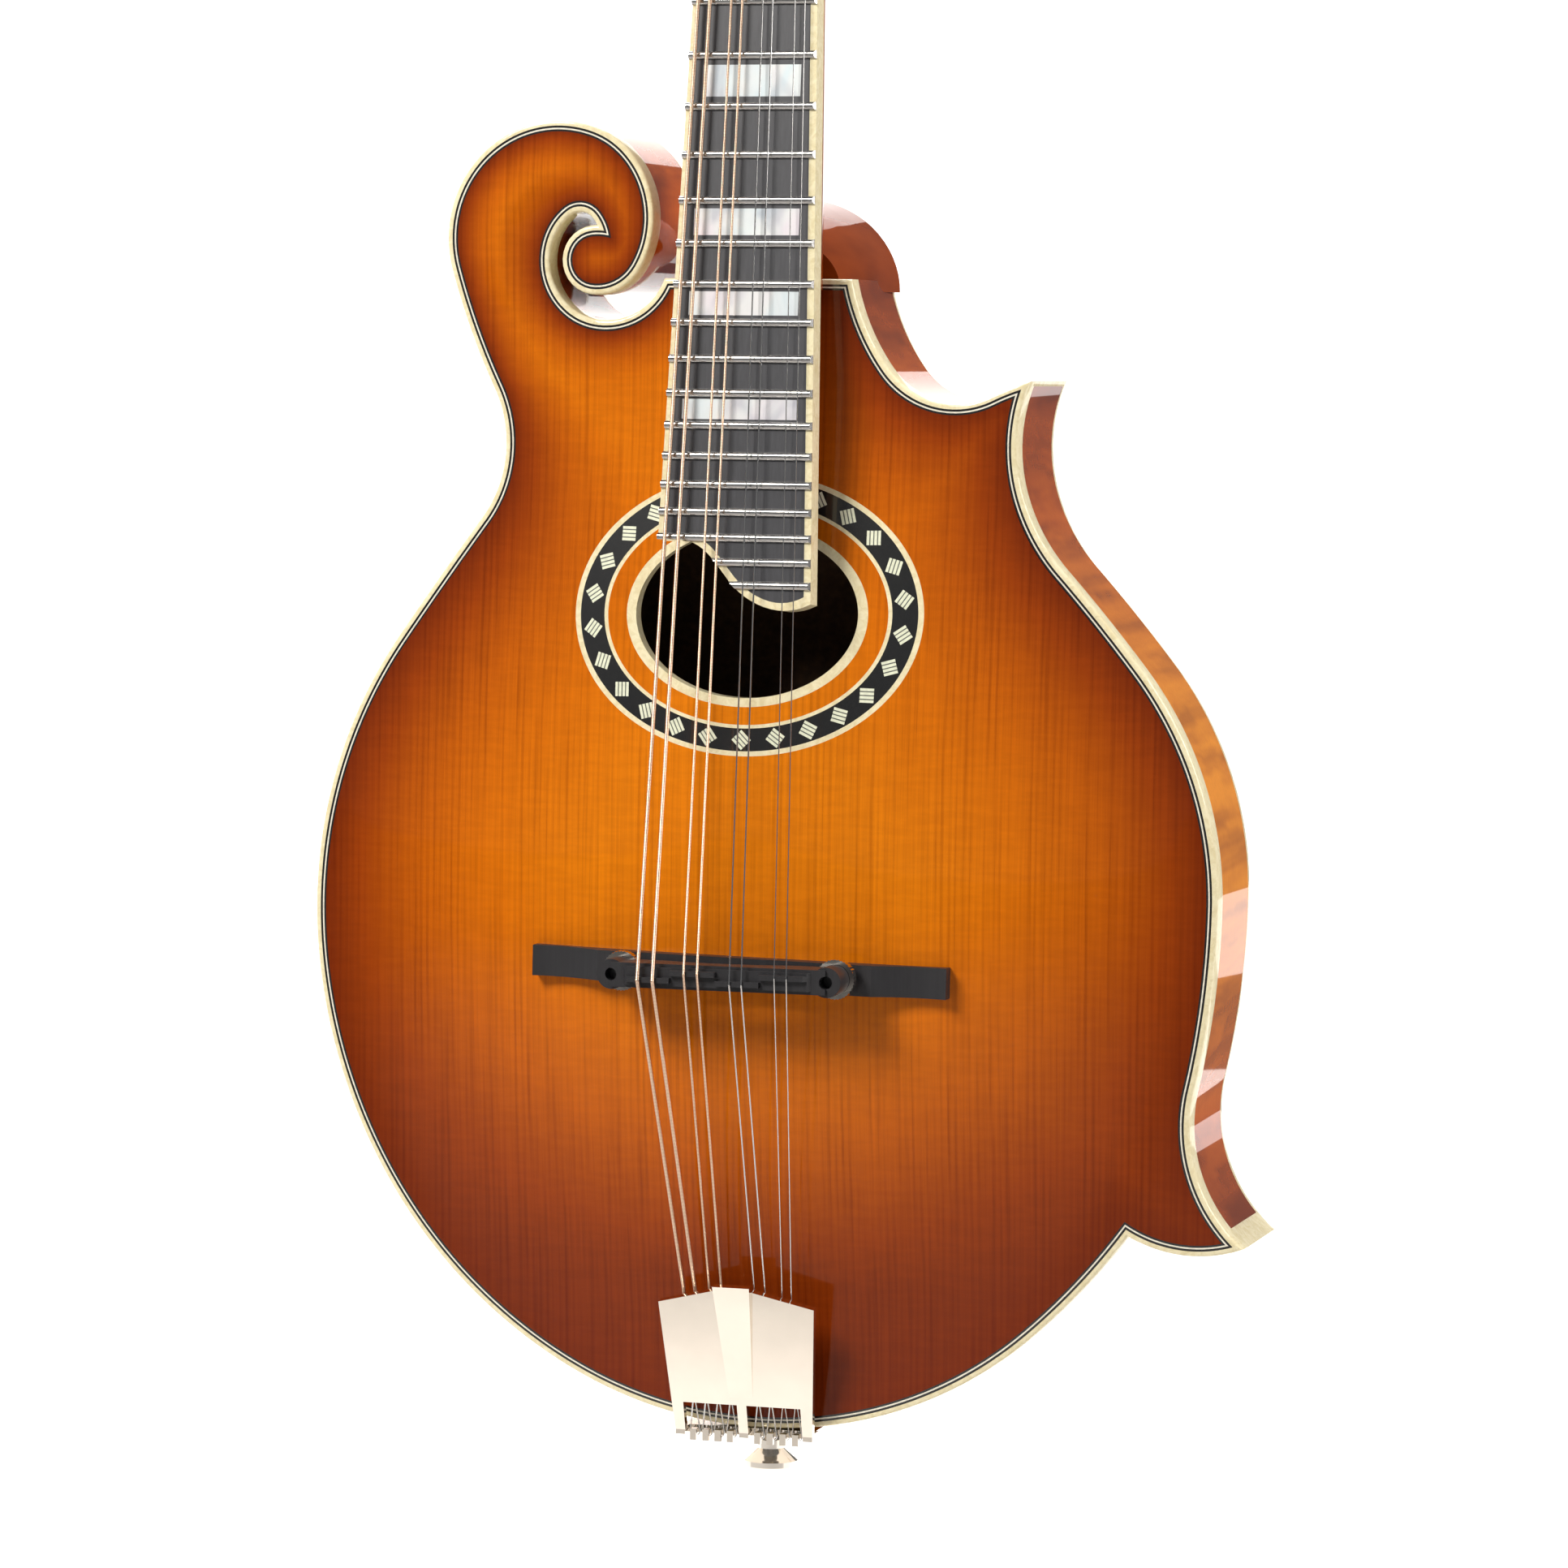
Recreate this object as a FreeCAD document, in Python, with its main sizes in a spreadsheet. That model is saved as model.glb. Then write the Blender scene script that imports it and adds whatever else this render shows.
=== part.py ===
import FreeCAD, Part
import math
import os
from FreeCAD import Placement, Rotation, Vector

# An eight-string mandolin with a scroll and two points, carved front and back, an oval
# soundhole and a one-piece tailpiece. Millimetres. The origin is the middle of the neck
# at the nut; +Z runs up the neck, -Y is the playing side and -X the bass side.

DIMENSIONS = {
    "scale_length": 352.4,       # nut to saddle, 13 7/8 inch
    "fret_count": 22,
    "neck_angle": 5.65,          # lean of the neck behind the plane of the body, degrees
    "nut_depth": -10.17,         # y of the fretboard's face at the nut
    "nut_level": -0.86,          # z of the same point
    "front_plane": -16.0,        # y of the front edge of the body
    "rim_depth": 39.3,           # front edge to back edge
    "front_rise": 11.0,          # height of the carved front
    "back_rise": 12.0,           # height of the carved back
    "plate_thickness": 4.0,
    "arch_centre": -333.0,       # z of the top of the arch
    "arch_half_width": 117.0,
    "arch_half_length": 137.0,
    "purfling_width": 1.5,
    "purfling_depth": 1.8,
    "binding_width": 1.4,
    "binding_height": 6.0,
    "back_binding_height": 3.0,
    "rim_thickness": 2.2,
    "lining_width": 5.0,
    "lining_height": 8.0,
    "joint_level": -177.5,       # z where the neck meets the body
    "hole_level": -261.0,        # z of the soundhole's centre
    "hole_half_width": 30.0,
    "hole_half_height": 21.6,
    "board_nut_width": 27.8,
    "board_taper": 0.055,        # gain in width per mm of length
    "board_thickness": 6.0,
    "board_binding": 1.8,
    "fret_crown": 1.1,
    "fret_width": 2.2,
    "head_angle": 14.0,
    "head_length": 138.0,
    "head_thickness": 14.0,
    "veneer_thickness": 1.6,
    "post_spacing": 23.0,
    "post_offset": 20.0,
    "first_post": 32.0,
    "post_radius": 3.0,
    "gear_teeth": 16,
    "gear_radius": 7.0,
    "gear_thickness": 2.6,
    "worm_distance": 9.4,
    "worm_radius": 2.2,
    "bridge_level": -353.4,
    "bridge_length": 112.0,
    "bridge_width": 8.0,
    "bridge_skew": 1.0,          # turn of the foot, degrees
    "wheel_radius": 5.2,
    "wheel_height": 2.4,
    "stud_radius": 1.5,
    "rod_radius": 2.4,
    "rod_length": 166.0,
    "rod_cover_thickness": 1.5,
    "bushing_radius": 4.6,
    "bushing_height": 2.8,
    "saddle_crest": -48.0,       # y of the strings over the saddle
    "button_level": -474.4,      # z of the body's outer edge at the tail
    "button_depth": 4.0,         # y of the strap button
}

doc = FreeCAD.newDocument("mandolin")
sheet = doc.addObject("Spreadsheet::Sheet", "Dimensions")
for row, (alias, value) in enumerate(DIMENSIONS.items(), start=1):
    sheet.set(f"A{row}", alias)
    sheet.set(f"B{row}", str(value))
    sheet.setAlias(f"B{row}", alias)
doc.recompute()

NODES = []
BACK = Vector(0, 1, 0)


def dim(alias):
    """A driving dimension, read from the sheet."""
    return float(getattr(sheet, alias))


def node(label, shape, placement=None):
    """A sub-part whose shape is worked out by formula from the sheet."""
    feature = doc.addObject("Part::Feature", label)
    feature.Label = label
    feature.Shape = shape
    if placement is not None:
        feature.Placement = placement
    NODES.append(feature)
    return feature


def finish_node(feature, label, placement=None):
    """Name a parametric object as a sub-part."""
    feature.Label = label
    if placement is not None:
        feature.Placement = placement
    NODES.append(feature)
    return feature


def bind(feature, **sizes):
    """Tie properties of an object to expressions on the sheet."""
    for name, expression in sizes.items():
        feature.setExpression(name, expression)


def origin_plane(body, role):
    for plane in body.Origin.OriginFeatures:
        if plane.Role == role:
            return plane


def sketched_body(label, role, edges):
    """A body with one sketch on an origin plane; edges are given in the sketch's own axes."""
    body = doc.addObject("PartDesign::Body", label)
    sketch = body.newObject("Sketcher::SketchObject", label + "_sketch")
    sketch.AttachmentSupport = (origin_plane(body, role), [""])
    sketch.MapMode = "FlatFace"
    for edge in edges:
        sketch.addGeometry(edge, False)
    doc.recompute()
    return body, sketch


def polygon_edges(points):
    corners = [Vector(a, b, 0) for a, b in points]
    return [Part.LineSegment(a, b) for a, b in zip(corners, corners[1:] + corners[:1])]


def padded_body(label, edges, length, placement=None, backwards=True):
    """A sketch in x and z, padded towards the back by an expression on the sheet."""
    body, sketch = sketched_body(label, "XZ_Plane", edges)
    pad = body.newObject("PartDesign::Pad", label + "_pad")
    pad.Profile = sketch
    pad.setExpression("Length", length)
    pad.Reversed = backwards
    body.Tip = pad
    if placement is not None:
        body.Placement = placement
    doc.recompute()
    return body


def revolved_body(label, profile, placement=None):
    """A profile of (radius, height) corners turned once about the body's own Z axis."""
    body, sketch = sketched_body(label, "XZ_Plane", polygon_edges(profile))
    turn = body.newObject("PartDesign::Revolution", label + "_turn")
    turn.Profile = sketch
    turn.ReferenceAxis = (sketch, ["V_Axis"])
    turn.Angle = 360.0
    body.Tip = turn
    doc.recompute()
    return finish_node(body, label, placement)


def cylinder(name, radius, height, start, axis=BACK, placement=None):
    """A cylinder along an axis, its radius and height bound to expressions on the sheet."""
    part = doc.addObject("Part::Cylinder", name)
    bind(part, Radius=radius, Height=height)
    place = Placement(start, Rotation(Vector(0, 0, 1), axis))
    part.Placement = placement.multiply(place) if placement else place
    return part


def gathered(name, parts):
    compound = doc.addObject("Part::Compound", name)
    compound.Links = parts
    return compound


def cut_object(name, base, tool):
    result = doc.addObject("Part::Cut", name)
    result.Base, result.Tool = base, tool
    return result


def box(x0, x1, y0, y1, z0, z1):
    return Part.makeBox(x1 - x0, y1 - y0, z1 - z0, Vector(x0, y0, z0))


def flat_polygon(points, y, depth):
    """A prism: points (x, z) at depth y, extruded towards the back."""
    corners = [Vector(x, y, z) for x, z in points]
    return Part.Face(Part.makePolygon(corners + corners[:1])).extrude(Vector(0, depth, 0))


def moved(shape, placement):
    result = shape.copy()
    result.Placement = placement.multiply(result.Placement)
    return result


# Body outline ---------------------------------------------------------------------------

UPPER_TIP = (68.4, -204.8)
LOWER_TIP = (126.3, -419.2)
VALLEY = (100.8, -414.9)
HOOK_TIP = (-40.0, -164.3)
BASS_JOINT = (-23.5, -177.5)
TREBLE_JOINT = (23.0, -177.5)

# Each run of the wood's edge is a chain of tangent arcs, (radius, turn in degrees), a turn
# to the left being positive, that joins two corners of the outline.
RUNS = [
    (TREBLE_JOINT, UPPER_TIP, [(58.9, 23.1), (25.0, 79.8), (51.0, -5.4)]),
    (UPPER_TIP, LOWER_TIP, [(46.2, 31.6), (52.0, 26.3), (439.4, -4.2), (93.1, -39.2),
                            (225.6, -11.7), (43.2, 56.1)]),
    (LOWER_TIP, VALLEY, [(33.0, -45.8)]),
    (VALLEY, HOOK_TIP, [(180.7, -12.6), (105.4, -35.6), (111.0, -33.6), (128.4, -29.9),
                        (137.0, -27.4), (122.5, -40.6), (1247.8, -1.8), (35.1, 63.3),
                        (178.9, -10.5), (27.6, -125.0), (20.1, -27.3), (22.9, -74.5),
                        (10.7, -67.7), (6.1, -164.7), (13.4, -22.3)]),
    (HOOK_TIP, BASS_JOINT, [(13.6, 32.7), (7.3, 87.3), (16.4, 27.0), (18.6, 73.8),
                            (18.0, 33.5), (20.1, 72.5)]),
    (BASS_JOINT, TREBLE_JOINT, [(4000.0, -0.67)]),
]


def unit(angle):
    return complex(math.cos(angle), math.sin(angle))


def arc_chain(start, end, bends):
    """Tangent arcs, turned and scaled to run from start to end: (centre, radius, side, from, to)."""
    point, heading = complex(0, 0), 0.0
    stations = []
    for radius, turn in bends:
        side = math.copysign(1.0, turn)
        centre = point + radius * side * complex(-math.sin(heading), math.cos(heading))
        leave = heading - side * math.pi / 2
        stations.append((centre, radius, side, leave, leave + math.radians(turn)))
        point = centre + radius * unit(leave + math.radians(turn))
        heading += math.radians(turn)
    first, last = complex(*start), complex(*end)
    fit = (last - first) / point
    swing = math.atan2(fit.imag, fit.real)
    return [(first + fit * centre, radius * abs(fit), side, a + swing, b + swing)
            for centre, radius, side, a, b in stations]


CHAINS = [arc_chain(*run) for run in RUNS]


def grown(chain, offset):
    """The same arcs moved sideways, away from the wood when offset is positive."""
    return [[centre, radius - side * offset, side, a, b] for centre, radius, side, a, b in chain]


def crossing(first, second, near):
    """Where two circles cross, on the side of a known point."""
    gap = second[0] - first[0]
    along = (abs(gap) ** 2 + first[1] ** 2 - second[1] ** 2) / (2 * abs(gap))
    rise = math.sqrt(max(first[1] ** 2 - along ** 2, 0.0))
    step = gap / abs(gap)
    return min((first[0] + step * complex(along, s * rise) for s in (-1, 1)),
               key=lambda p: abs(p - near))


def swung_to(arc, point, which):
    """Lengthen or shorten an arc at one end so that it reaches a point."""
    wanted = math.atan2((point - arc[0]).imag, (point - arc[0]).real)
    turn = math.remainder(wanted - arc[which], 2 * math.pi)
    arc[which] += turn


def arc_edges(chain):
    edges = []
    for centre, radius, side, a, b in chain:
        places = [centre + radius * unit(t) for t in (a, (a + b) / 2, b)]
        edges.append(Part.Arc(*[Vector(p.real, 0, p.imag) for p in places]).toShape())
    return edges


def outline_wire(offset):
    """The body's closed outline, grown evenly, with its corners kept sharp."""
    chains = [grown(chain, offset) for chain in CHAINS]
    for before, after in zip(chains, chains[1:] + chains[:1]):
        last, first = before[-1], after[0]
        near = last[0] + last[1] * unit(last[4])
        corner = crossing(last, first, near)
        swung_to(last, corner, 4)
        swung_to(first, corner, 3)
    return Part.Wire([edge for chain in chains for edge in arc_edges(chain)])


def outline_prism(offset, y0, y1):
    """The body's plan, grown by offset, between two depths."""
    face = Part.Face(outline_wire(offset))
    face.translate(Vector(0, y0, 0))
    return face.extrude(Vector(0, y1 - y0, 0))


def run_strip(chain, inner, outer, y0, y1):
    """A strip that follows one run of the outline, between two offsets and two depths."""
    inside, outside = arc_edges(grown(chain, inner)), arc_edges(grown(chain, outer))
    ends = [Part.LineSegment(inside[k].Vertexes[k].Point, outside[k].Vertexes[k].Point).toShape()
            for k in (0, -1)]
    face = Part.Face(Part.Wire(Part.__sortEdges__(inside + outside + ends)))
    face.translate(Vector(0, y0, 0))
    return face.extrude(Vector(0, y1 - y0, 0))


# Carved plates --------------------------------------------------------------------------

ARCH_FULLNESS = 1.6


def arch_height(x, z, rise):
    reach = math.hypot(x / dim("arch_half_width"),
                       (z - dim("arch_centre")) / dim("arch_half_length"))
    if reach >= 1:
        return 0.0
    return rise * (1 + math.cos(math.pi * reach ** ARCH_FULLNESS)) / 2


def arch_face(plane, rise, side):
    """A smooth sheet over the whole body; side is -1 for the front and +1 for the back."""
    left, right, bottom, top = -132.0, 144.0, -492.0, -124.0
    across, along = 24, 30
    grid = []
    for i in range(across + 1):
        x = left + (right - left) * i / across
        column = []
        for j in range(along + 1):
            z = bottom + (top - bottom) * j / along
            column.append(Vector(x, plane + side * arch_height(x, z, rise), z))
        grid.append(column)
    surface = Part.BSplineSurface()
    surface.interpolate(grid)
    return surface.toShape()


Y_FRONT = dim("front_plane")
Y_BACK = Y_FRONT + dim("rim_depth")
T_PLATE = dim("plate_thickness")
W_PURFLING = dim("purfling_width")
W_EDGE = dim("purfling_width") + dim("binding_width")
W_INNER_WALL = W_EDGE - dim("rim_thickness")
Z_HOLE = dim("hole_level")
Z_JOINT = dim("joint_level")

FRONT_FACE = arch_face(Y_FRONT, dim("front_rise"), -1)
BACK_FACE = arch_face(Y_BACK, dim("back_rise"), 1)


def front_layer(top, bottom):
    """The layer between two depths below the carved front."""
    face = FRONT_FACE.copy()
    face.translate(Vector(0, top, 0))
    return face.extrude(Vector(0, bottom - top, 0))


def back_layer(bottom, top):
    face = BACK_FACE.copy()
    face.translate(Vector(0, -bottom, 0))
    return face.extrude(Vector(0, bottom - top, 0))


def oval_prism(half_width, half_height, y0=-40.0, y1=10.0, level=None):
    """An upright oval through the front, centred on the soundhole."""
    z = Z_HOLE if level is None else level
    ellipse = Part.Ellipse(Vector(0, y0, z), half_width, half_height)
    ellipse.Axis = Vector(0, 1, 0)
    ellipse.AngleXU = 0
    if abs(ellipse.XAxis.x) < 0.5:
        ellipse.AngleXU = math.pi / 2
    return Part.Face(Part.Wire(ellipse.toShape())).extrude(Vector(0, y1 - y0, 0))


# The rosette's rings, as (half width, half height) of each boundary, from the hole outwards.
HOLE = (dim("hole_half_width"), dim("hole_half_height"))
RING_WIDTHS = [("binding", 2.5), ("wood", 5.0), ("inner_ring", 1.0), ("band", 6.4),
               ("outer_ring", 1.4)]
INLAY_DEPTH = 1.0
SQUARE_COUNT = 26
SQUARE_SIZE = 3.7


def rosette_ovals():
    """Grow the soundhole's oval outwards; the growth is a little less up and down."""
    ovals = {"hole": HOLE}
    width, height = HOLE
    for name, thickness in RING_WIDTHS:
        width += thickness * 1.05
        height += thickness * 0.92
        ovals[name] = (width, height)
    return ovals


OVALS = rosette_ovals()


def oval_ring(inner, outer):
    return oval_prism(*OVALS[outer]).cut(oval_prism(*OVALS[inner]))


def rosette_square_prisms():
    """Square inlays stood on their corners along the middle of the black band."""
    width = (OVALS["inner_ring"][0] + OVALS["band"][0]) / 2
    height = (OVALS["inner_ring"][1] + OVALS["band"][1]) / 2
    steps = 720
    ring = [(width * math.sin(2 * math.pi * k / steps), height * math.cos(2 * math.pi * k / steps))
            for k in range(steps + 1)]
    lengths = [0.0]
    for a, b in zip(ring, ring[1:]):
        lengths.append(lengths[-1] + math.hypot(b[0] - a[0], b[1] - a[1]))
    prisms = []
    reach = SQUARE_SIZE / math.sqrt(2)
    for n in range(SQUARE_COUNT):
        wanted = lengths[-1] * n / SQUARE_COUNT
        k = min(range(steps), key=lambda i: abs(lengths[i] - wanted))
        x, z = ring[k]
        along = math.atan2(ring[k + 1][1] - z, ring[k + 1][0] - x)
        corners = [(x + reach * math.cos(along + q * math.pi / 2),
                    Z_HOLE + z + reach * math.sin(along + q * math.pi / 2)) for q in range(4)]
        prisms.append(flat_polygon(corners, -40.0, 50.0))
    return prisms


def purfling_prism():
    return outline_prism(W_PURFLING, Y_FRONT - 1, Y_FRONT + dim("purfling_depth")).cut(
        outline_prism(0, Y_FRONT - 1, Y_FRONT + dim("purfling_depth")))


def make_soundboard():
    plate = front_layer(0, T_PLATE).common(outline_prism(W_PURFLING, Y_FRONT - 20, Y_FRONT + 10))
    plate = plate.cut(purfling_prism())
    plate = plate.cut(oval_prism(*OVALS["binding"]))
    inlay = front_layer(-1, INLAY_DEPTH).common(oval_ring("wood", "outer_ring"))
    return node("soundboard", plate.cut(inlay))


def make_rosette():
    thin = front_layer(0, INLAY_DEPTH)
    squares = Part.makeCompound([thin.common(p) for p in rosette_square_prisms()])
    band = thin.common(oval_ring("inner_ring", "band")).cut(squares)
    rings = Part.makeCompound([thin.common(oval_ring("wood", "inner_ring")),
                               thin.common(oval_ring("band", "outer_ring"))])
    node("rosette_squares", squares)
    node("rosette_band", band)
    node("rosette_rings", rings)
    node("soundhole_binding", front_layer(0, T_PLATE).common(oval_ring("hole", "binding")))


def make_back_plate():
    plate = back_layer(0, T_PLATE).common(outline_prism(W_PURFLING, Y_BACK - 10, Y_BACK + 20))
    return node("back_plate", plate)


# Rim, linings, blocks and edges ---------------------------------------------------------

CAP_HEIGHT = 5.4


def cap_zones():
    """Boxes round the two points, where an ivory cap replaces the edge and the rim."""
    return [box(60.0, 80.0, -60, 60, UPPER_TIP[1] - 1.6, UPPER_TIP[1] + 8),
            box(121.5, 140.0, -60, 60, LOWER_TIP[1] - 4.0, LOWER_TIP[1] + CAP_HEIGHT - 0.6)]


def without_caps(shape):
    for zone in cap_zones():
        shape = shape.cut(zone)
    return shape


def edge_ring(inner, outer, y0, y1):
    return outline_prism(outer, y0, y1).cut(outline_prism(inner, y0, y1))


def make_edges():
    y_bind = Y_FRONT + dim("binding_height")
    y_back_bind = Y_BACK - dim("back_binding_height")
    purfling = outline_prism(W_PURFLING, Y_FRONT, Y_FRONT + dim("purfling_depth")).cut(
        outline_prism(0, Y_FRONT, Y_FRONT + dim("purfling_depth")))
    node("top_purfling", purfling)
    node("top_binding", without_caps(edge_ring(W_PURFLING, W_EDGE, Y_FRONT, y_bind)))
    node("back_binding", without_caps(edge_ring(W_PURFLING, W_EDGE, y_back_bind, Y_BACK)))
    tall = edge_ring(W_PURFLING, W_EDGE, Y_FRONT, Y_BACK)
    node("point_caps", Part.makeCompound([tall.common(zone) for zone in cap_zones()]))
    wall = edge_ring(W_PURFLING, W_EDGE, y_bind, y_back_bind)
    liner = edge_ring(W_INNER_WALL, W_PURFLING, Y_FRONT + T_PLATE, Y_BACK - T_PLATE)
    node("rim", without_caps(wall).fuse(liner).removeSplitter())


BLOCK_LIMIT = -198.0
GLUE = 0.12                  # glue line between a plate and what it is glued to
TAIL_BLOCK_HALF = 34.0
TAIL_BLOCK_DEPTH = 20.0


def inside_box(x0, x1, z0, z1):
    """Solid wood between the plates and inside the rim, in one corner of the body."""
    prism = outline_prism(W_INNER_WALL, Y_FRONT + T_PLATE + GLUE, Y_BACK - T_PLATE - GLUE)
    return prism.common(box(x0, x1, -60, 60, z0, z1))


def make_blocks():
    node("head_block", inside_box(-90, 40, BLOCK_LIMIT, -120))
    bottom = dim("button_level")
    node("tail_block", inside_box(-TAIL_BLOCK_HALF, TAIL_BLOCK_HALF, bottom - 5,
                                  bottom + TAIL_BLOCK_DEPTH))
    upper = inside_box(50, 75, -216, BLOCK_LIMIT - 2)
    lower = inside_box(104, 135, -425, -400)
    node("point_blocks", Part.makeCompound([upper, lower]))


def lining_strips(y0, y1):
    """Strips glued inside the rim between the blocks, one on each side."""
    strips = []
    bottom = dim("button_level")
    for chain in (CHAINS[1], CHAINS[3]):
        strip = run_strip(chain, W_INNER_WALL - dim("lining_width"), W_INNER_WALL, y0, y1)
        for zone in (box(-100, 64, -60, 60, BLOCK_LIMIT, -100),
                     box(-TAIL_BLOCK_HALF, TAIL_BLOCK_HALF, -60, 60, bottom - 5,
                         bottom + TAIL_BLOCK_DEPTH),
                     box(44, 80, -60, 60, -217, -150),
                     box(98, 140, -60, 60, -430, -398)):
            strip = strip.cut(zone)
        strips.append(strip)
    return Part.makeCompound([solid for strip in strips for solid in strip.Solids])


def make_linings():
    tall = dim("lining_height")
    front, back = Y_FRONT + T_PLATE + GLUE, Y_BACK - T_PLATE - GLUE
    node("top_lining", lining_strips(front, front + tall))
    node("back_lining", lining_strips(back - tall, back))


def make_braces():
    """Two bars across the inside of the front, above and below the soundhole."""
    bars = [box(-72, 72, Y_FRONT - 12, Y_FRONT + 9, -300, -294),
            box(-52, 52, Y_FRONT - 12, Y_FRONT + 9, -232, -226)]
    under = front_layer(-30, T_PLATE)
    node("top_braces", Part.makeCompound([bar.cut(under) for bar in bars]))


# Neck -----------------------------------------------------------------------------------

NECK = Placement(Vector(0, dim("nut_depth"), dim("nut_level")),
                 Rotation(Vector(1, 0, 0), -dim("neck_angle")))
BOARD_T = dim("board_thickness")


def fret_place(number):
    """Distance of a fret below the nut, along the board."""
    return dim("scale_length") * (1 - 2 ** (-number / 12.0))


def board_half_width(distance):
    return (dim("board_nut_width") + dim("board_taper") * distance) / 2


# End of the board over the soundhole: an S-curve from the bass side to the treble side.
BOARD_END = [(-13.0, -242.1), (-7.0, -245.5), (0.6, -254.2), (9.5, -259.2), (20.8, -258.0)]


def board_outline(inset):
    """Plan of the fretboard in the neck's own frame; inset is the width of the binding."""
    ends = [(x, z) for x, z in BOARD_END]
    curve_points = []
    for k, (x, z) in enumerate(ends):
        x0, z0 = ends[max(k - 1, 0)]
        x1, z1 = ends[min(k + 1, len(ends) - 1)]
        length = math.hypot(x1 - x0, z1 - z0)
        curve_points.append(Vector(x - inset * (z1 - z0) / length, 0,
                                   z + inset * (x1 - x0) / length))
    last = curve_points[-1]
    last.x = board_half_width(-last.z) - inset
    curve = Part.BSplineCurve()
    curve.interpolate(curve_points)
    bass_z = curve_points[0].z
    a = Vector(-board_half_width(0) + inset, 0, 0)
    b = Vector(board_half_width(0) - inset, 0, 0)
    d = Vector(-board_half_width(-bass_z) + inset, 0, bass_z)
    return Part.Wire([Part.LineSegment(a, b).toShape(), Part.LineSegment(b, last).toShape(),
                      curve.toShape(), Part.LineSegment(curve_points[0], d).toShape(),
                      Part.LineSegment(d, a).toShape()])


def board_prism(inset, y0, y1):
    wire = Part.Wire(Part.__sortEdges__(board_outline(inset).Edges))
    face = Part.Face(wire)
    face.translate(Vector(0, y0, 0))
    return face.extrude(Vector(0, y1 - y0, 0))


INLAY_FRETS = (3, 5, 7, 10, 12, 15)
PEARL_MARGIN = 4.2
PEARL_DEPTH = 1.2


def inlay_blocks():
    blocks = []
    for number in INLAY_FRETS:
        upper, lower = fret_place(number), fret_place(number + 1)
        middle, span = (upper + lower) / 2, (lower - upper) * 0.62
        half = board_half_width(middle) - PEARL_MARGIN
        blocks.append(box(-half, half, 0, PEARL_DEPTH, -middle - span / 2, -middle + span / 2))
    return blocks


def make_fretboard():
    blocks = inlay_blocks()
    core = board_prism(dim("board_binding"), 0, BOARD_T)
    whole = board_prism(0, 0, BOARD_T)
    edge = whole.cut(core)
    for block in blocks:
        core = core.cut(block)
    node("fretboard", core, NECK)
    for dot in side_dot_solids():
        edge = edge.cut(dot)
    node("fretboard_binding", edge, NECK)
    node("fret_inlays", Part.makeCompound(blocks), NECK)


def make_frets():
    crown, width = dim("fret_crown"), dim("fret_width")
    plan = board_prism(0, -5, 5)
    wires = []
    for number in range(1, int(dim("fret_count")) + 1):
        z = -fret_place(number)
        half = board_half_width(-z) + 1
        left = Vector(-half, 0, z - width / 2)
        top = Vector(-half, -crown, z)
        right = Vector(-half, 0, z + width / 2)
        section = Part.Wire([Part.Arc(left, top, right).toShape(),
                             Part.LineSegment(right, left).toShape()])
        bar = Part.Face(section).extrude(Vector(2 * half, 0, 0)).common(plan)
        for side in (-1, 1):
            bevel = Part.makeBox(6, 6, 8, Vector(0, -6, -4))
            bevel.Placement = Placement(Vector(side * (board_half_width(-z) + 0.2), 0, z),
                                        Rotation(Vector(0, 0, 1), -35 if side > 0 else 125))
            bar = bar.cut(bevel)
        wires.append(bar)
    node("frets", Part.makeCompound(wires), NECK)


SIDE_DOT_FRETS = (3, 5, 7, 10, 12, 15)


def side_dot_solids():
    dots = []
    for number in SIDE_DOT_FRETS:
        z = -(fret_place(number) + fret_place(number + 1)) / 2
        x = -board_half_width(-z)
        spots = (-2.2, 2.2) if number == 12 else (0,)
        for shift in spots:
            dots.append(Part.makeCylinder(0.9, 0.8, Vector(x - 0.12, BOARD_T / 2, z + shift),
                                          Vector(1, 0, 0)))
    return dots


def make_side_dots():
    node("side_dots", Part.makeCompound(side_dot_solids()), NECK)


NUT_THICKNESS = 5.0
NUT_HEIGHT = 2.2
NUT_BREAK = 4.7              # distance behind the board's end where the strings bend
STRING_FLOOR = 1.4           # bottom of the nut's slots, above the board


def nut_space():
    """The seat that the nut fills, cleared through the neck and the headstock's face."""
    return moved(box(-20, 20, -12, BOARD_T, -0.01, NUT_THICKNESS + 0.01), NECK)


def string_height(radius):
    """Height of a string's middle over the board at the nut."""
    return STRING_FLOOR + radius + 0.05


def make_nut():
    half = board_half_width(0)
    profile = [(0, BOARD_T), (NUT_THICKNESS, BOARD_T), (NUT_THICKNESS, -NUT_HEIGHT * 0.6),
               (NUT_THICKNESS * 0.3, -NUT_HEIGHT), (0, -NUT_HEIGHT)]
    corners = [Vector(-half, y, z) for z, y in profile]
    outline = Part.makePolygon(corners + corners[:1])
    shape = Part.Face(outline).extrude(Vector(2 * half, 0, 0))
    for x, radius in zip(STRING_X_NUT, STRING_RADII):
        slot = radius + 0.12
        shape = shape.cut(box(x - slot, x + slot, -10, -STRING_FLOOR, -5, 15))
    node("nut", shape, NECK)


def neck_section(distance, depth, flat):
    """Half-round section of the neck below the board, at a distance below the nut."""
    half = board_half_width(distance) - flat
    z = -distance
    left, right = Vector(-half, BOARD_T, z), Vector(half, BOARD_T, z)
    curve = Part.BSplineCurve()
    curve.interpolate([right, Vector(half * 0.9, BOARD_T + depth * 0.42, z),
                       Vector(half * 0.56, BOARD_T + depth * 0.82, z),
                       Vector(0, BOARD_T + depth, z),
                       Vector(-half * 0.56, BOARD_T + depth * 0.82, z),
                       Vector(-half * 0.9, BOARD_T + depth * 0.42, z), left])
    return Part.Wire([Part.LineSegment(left, right).toShape(), curve.toShape()])


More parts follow.
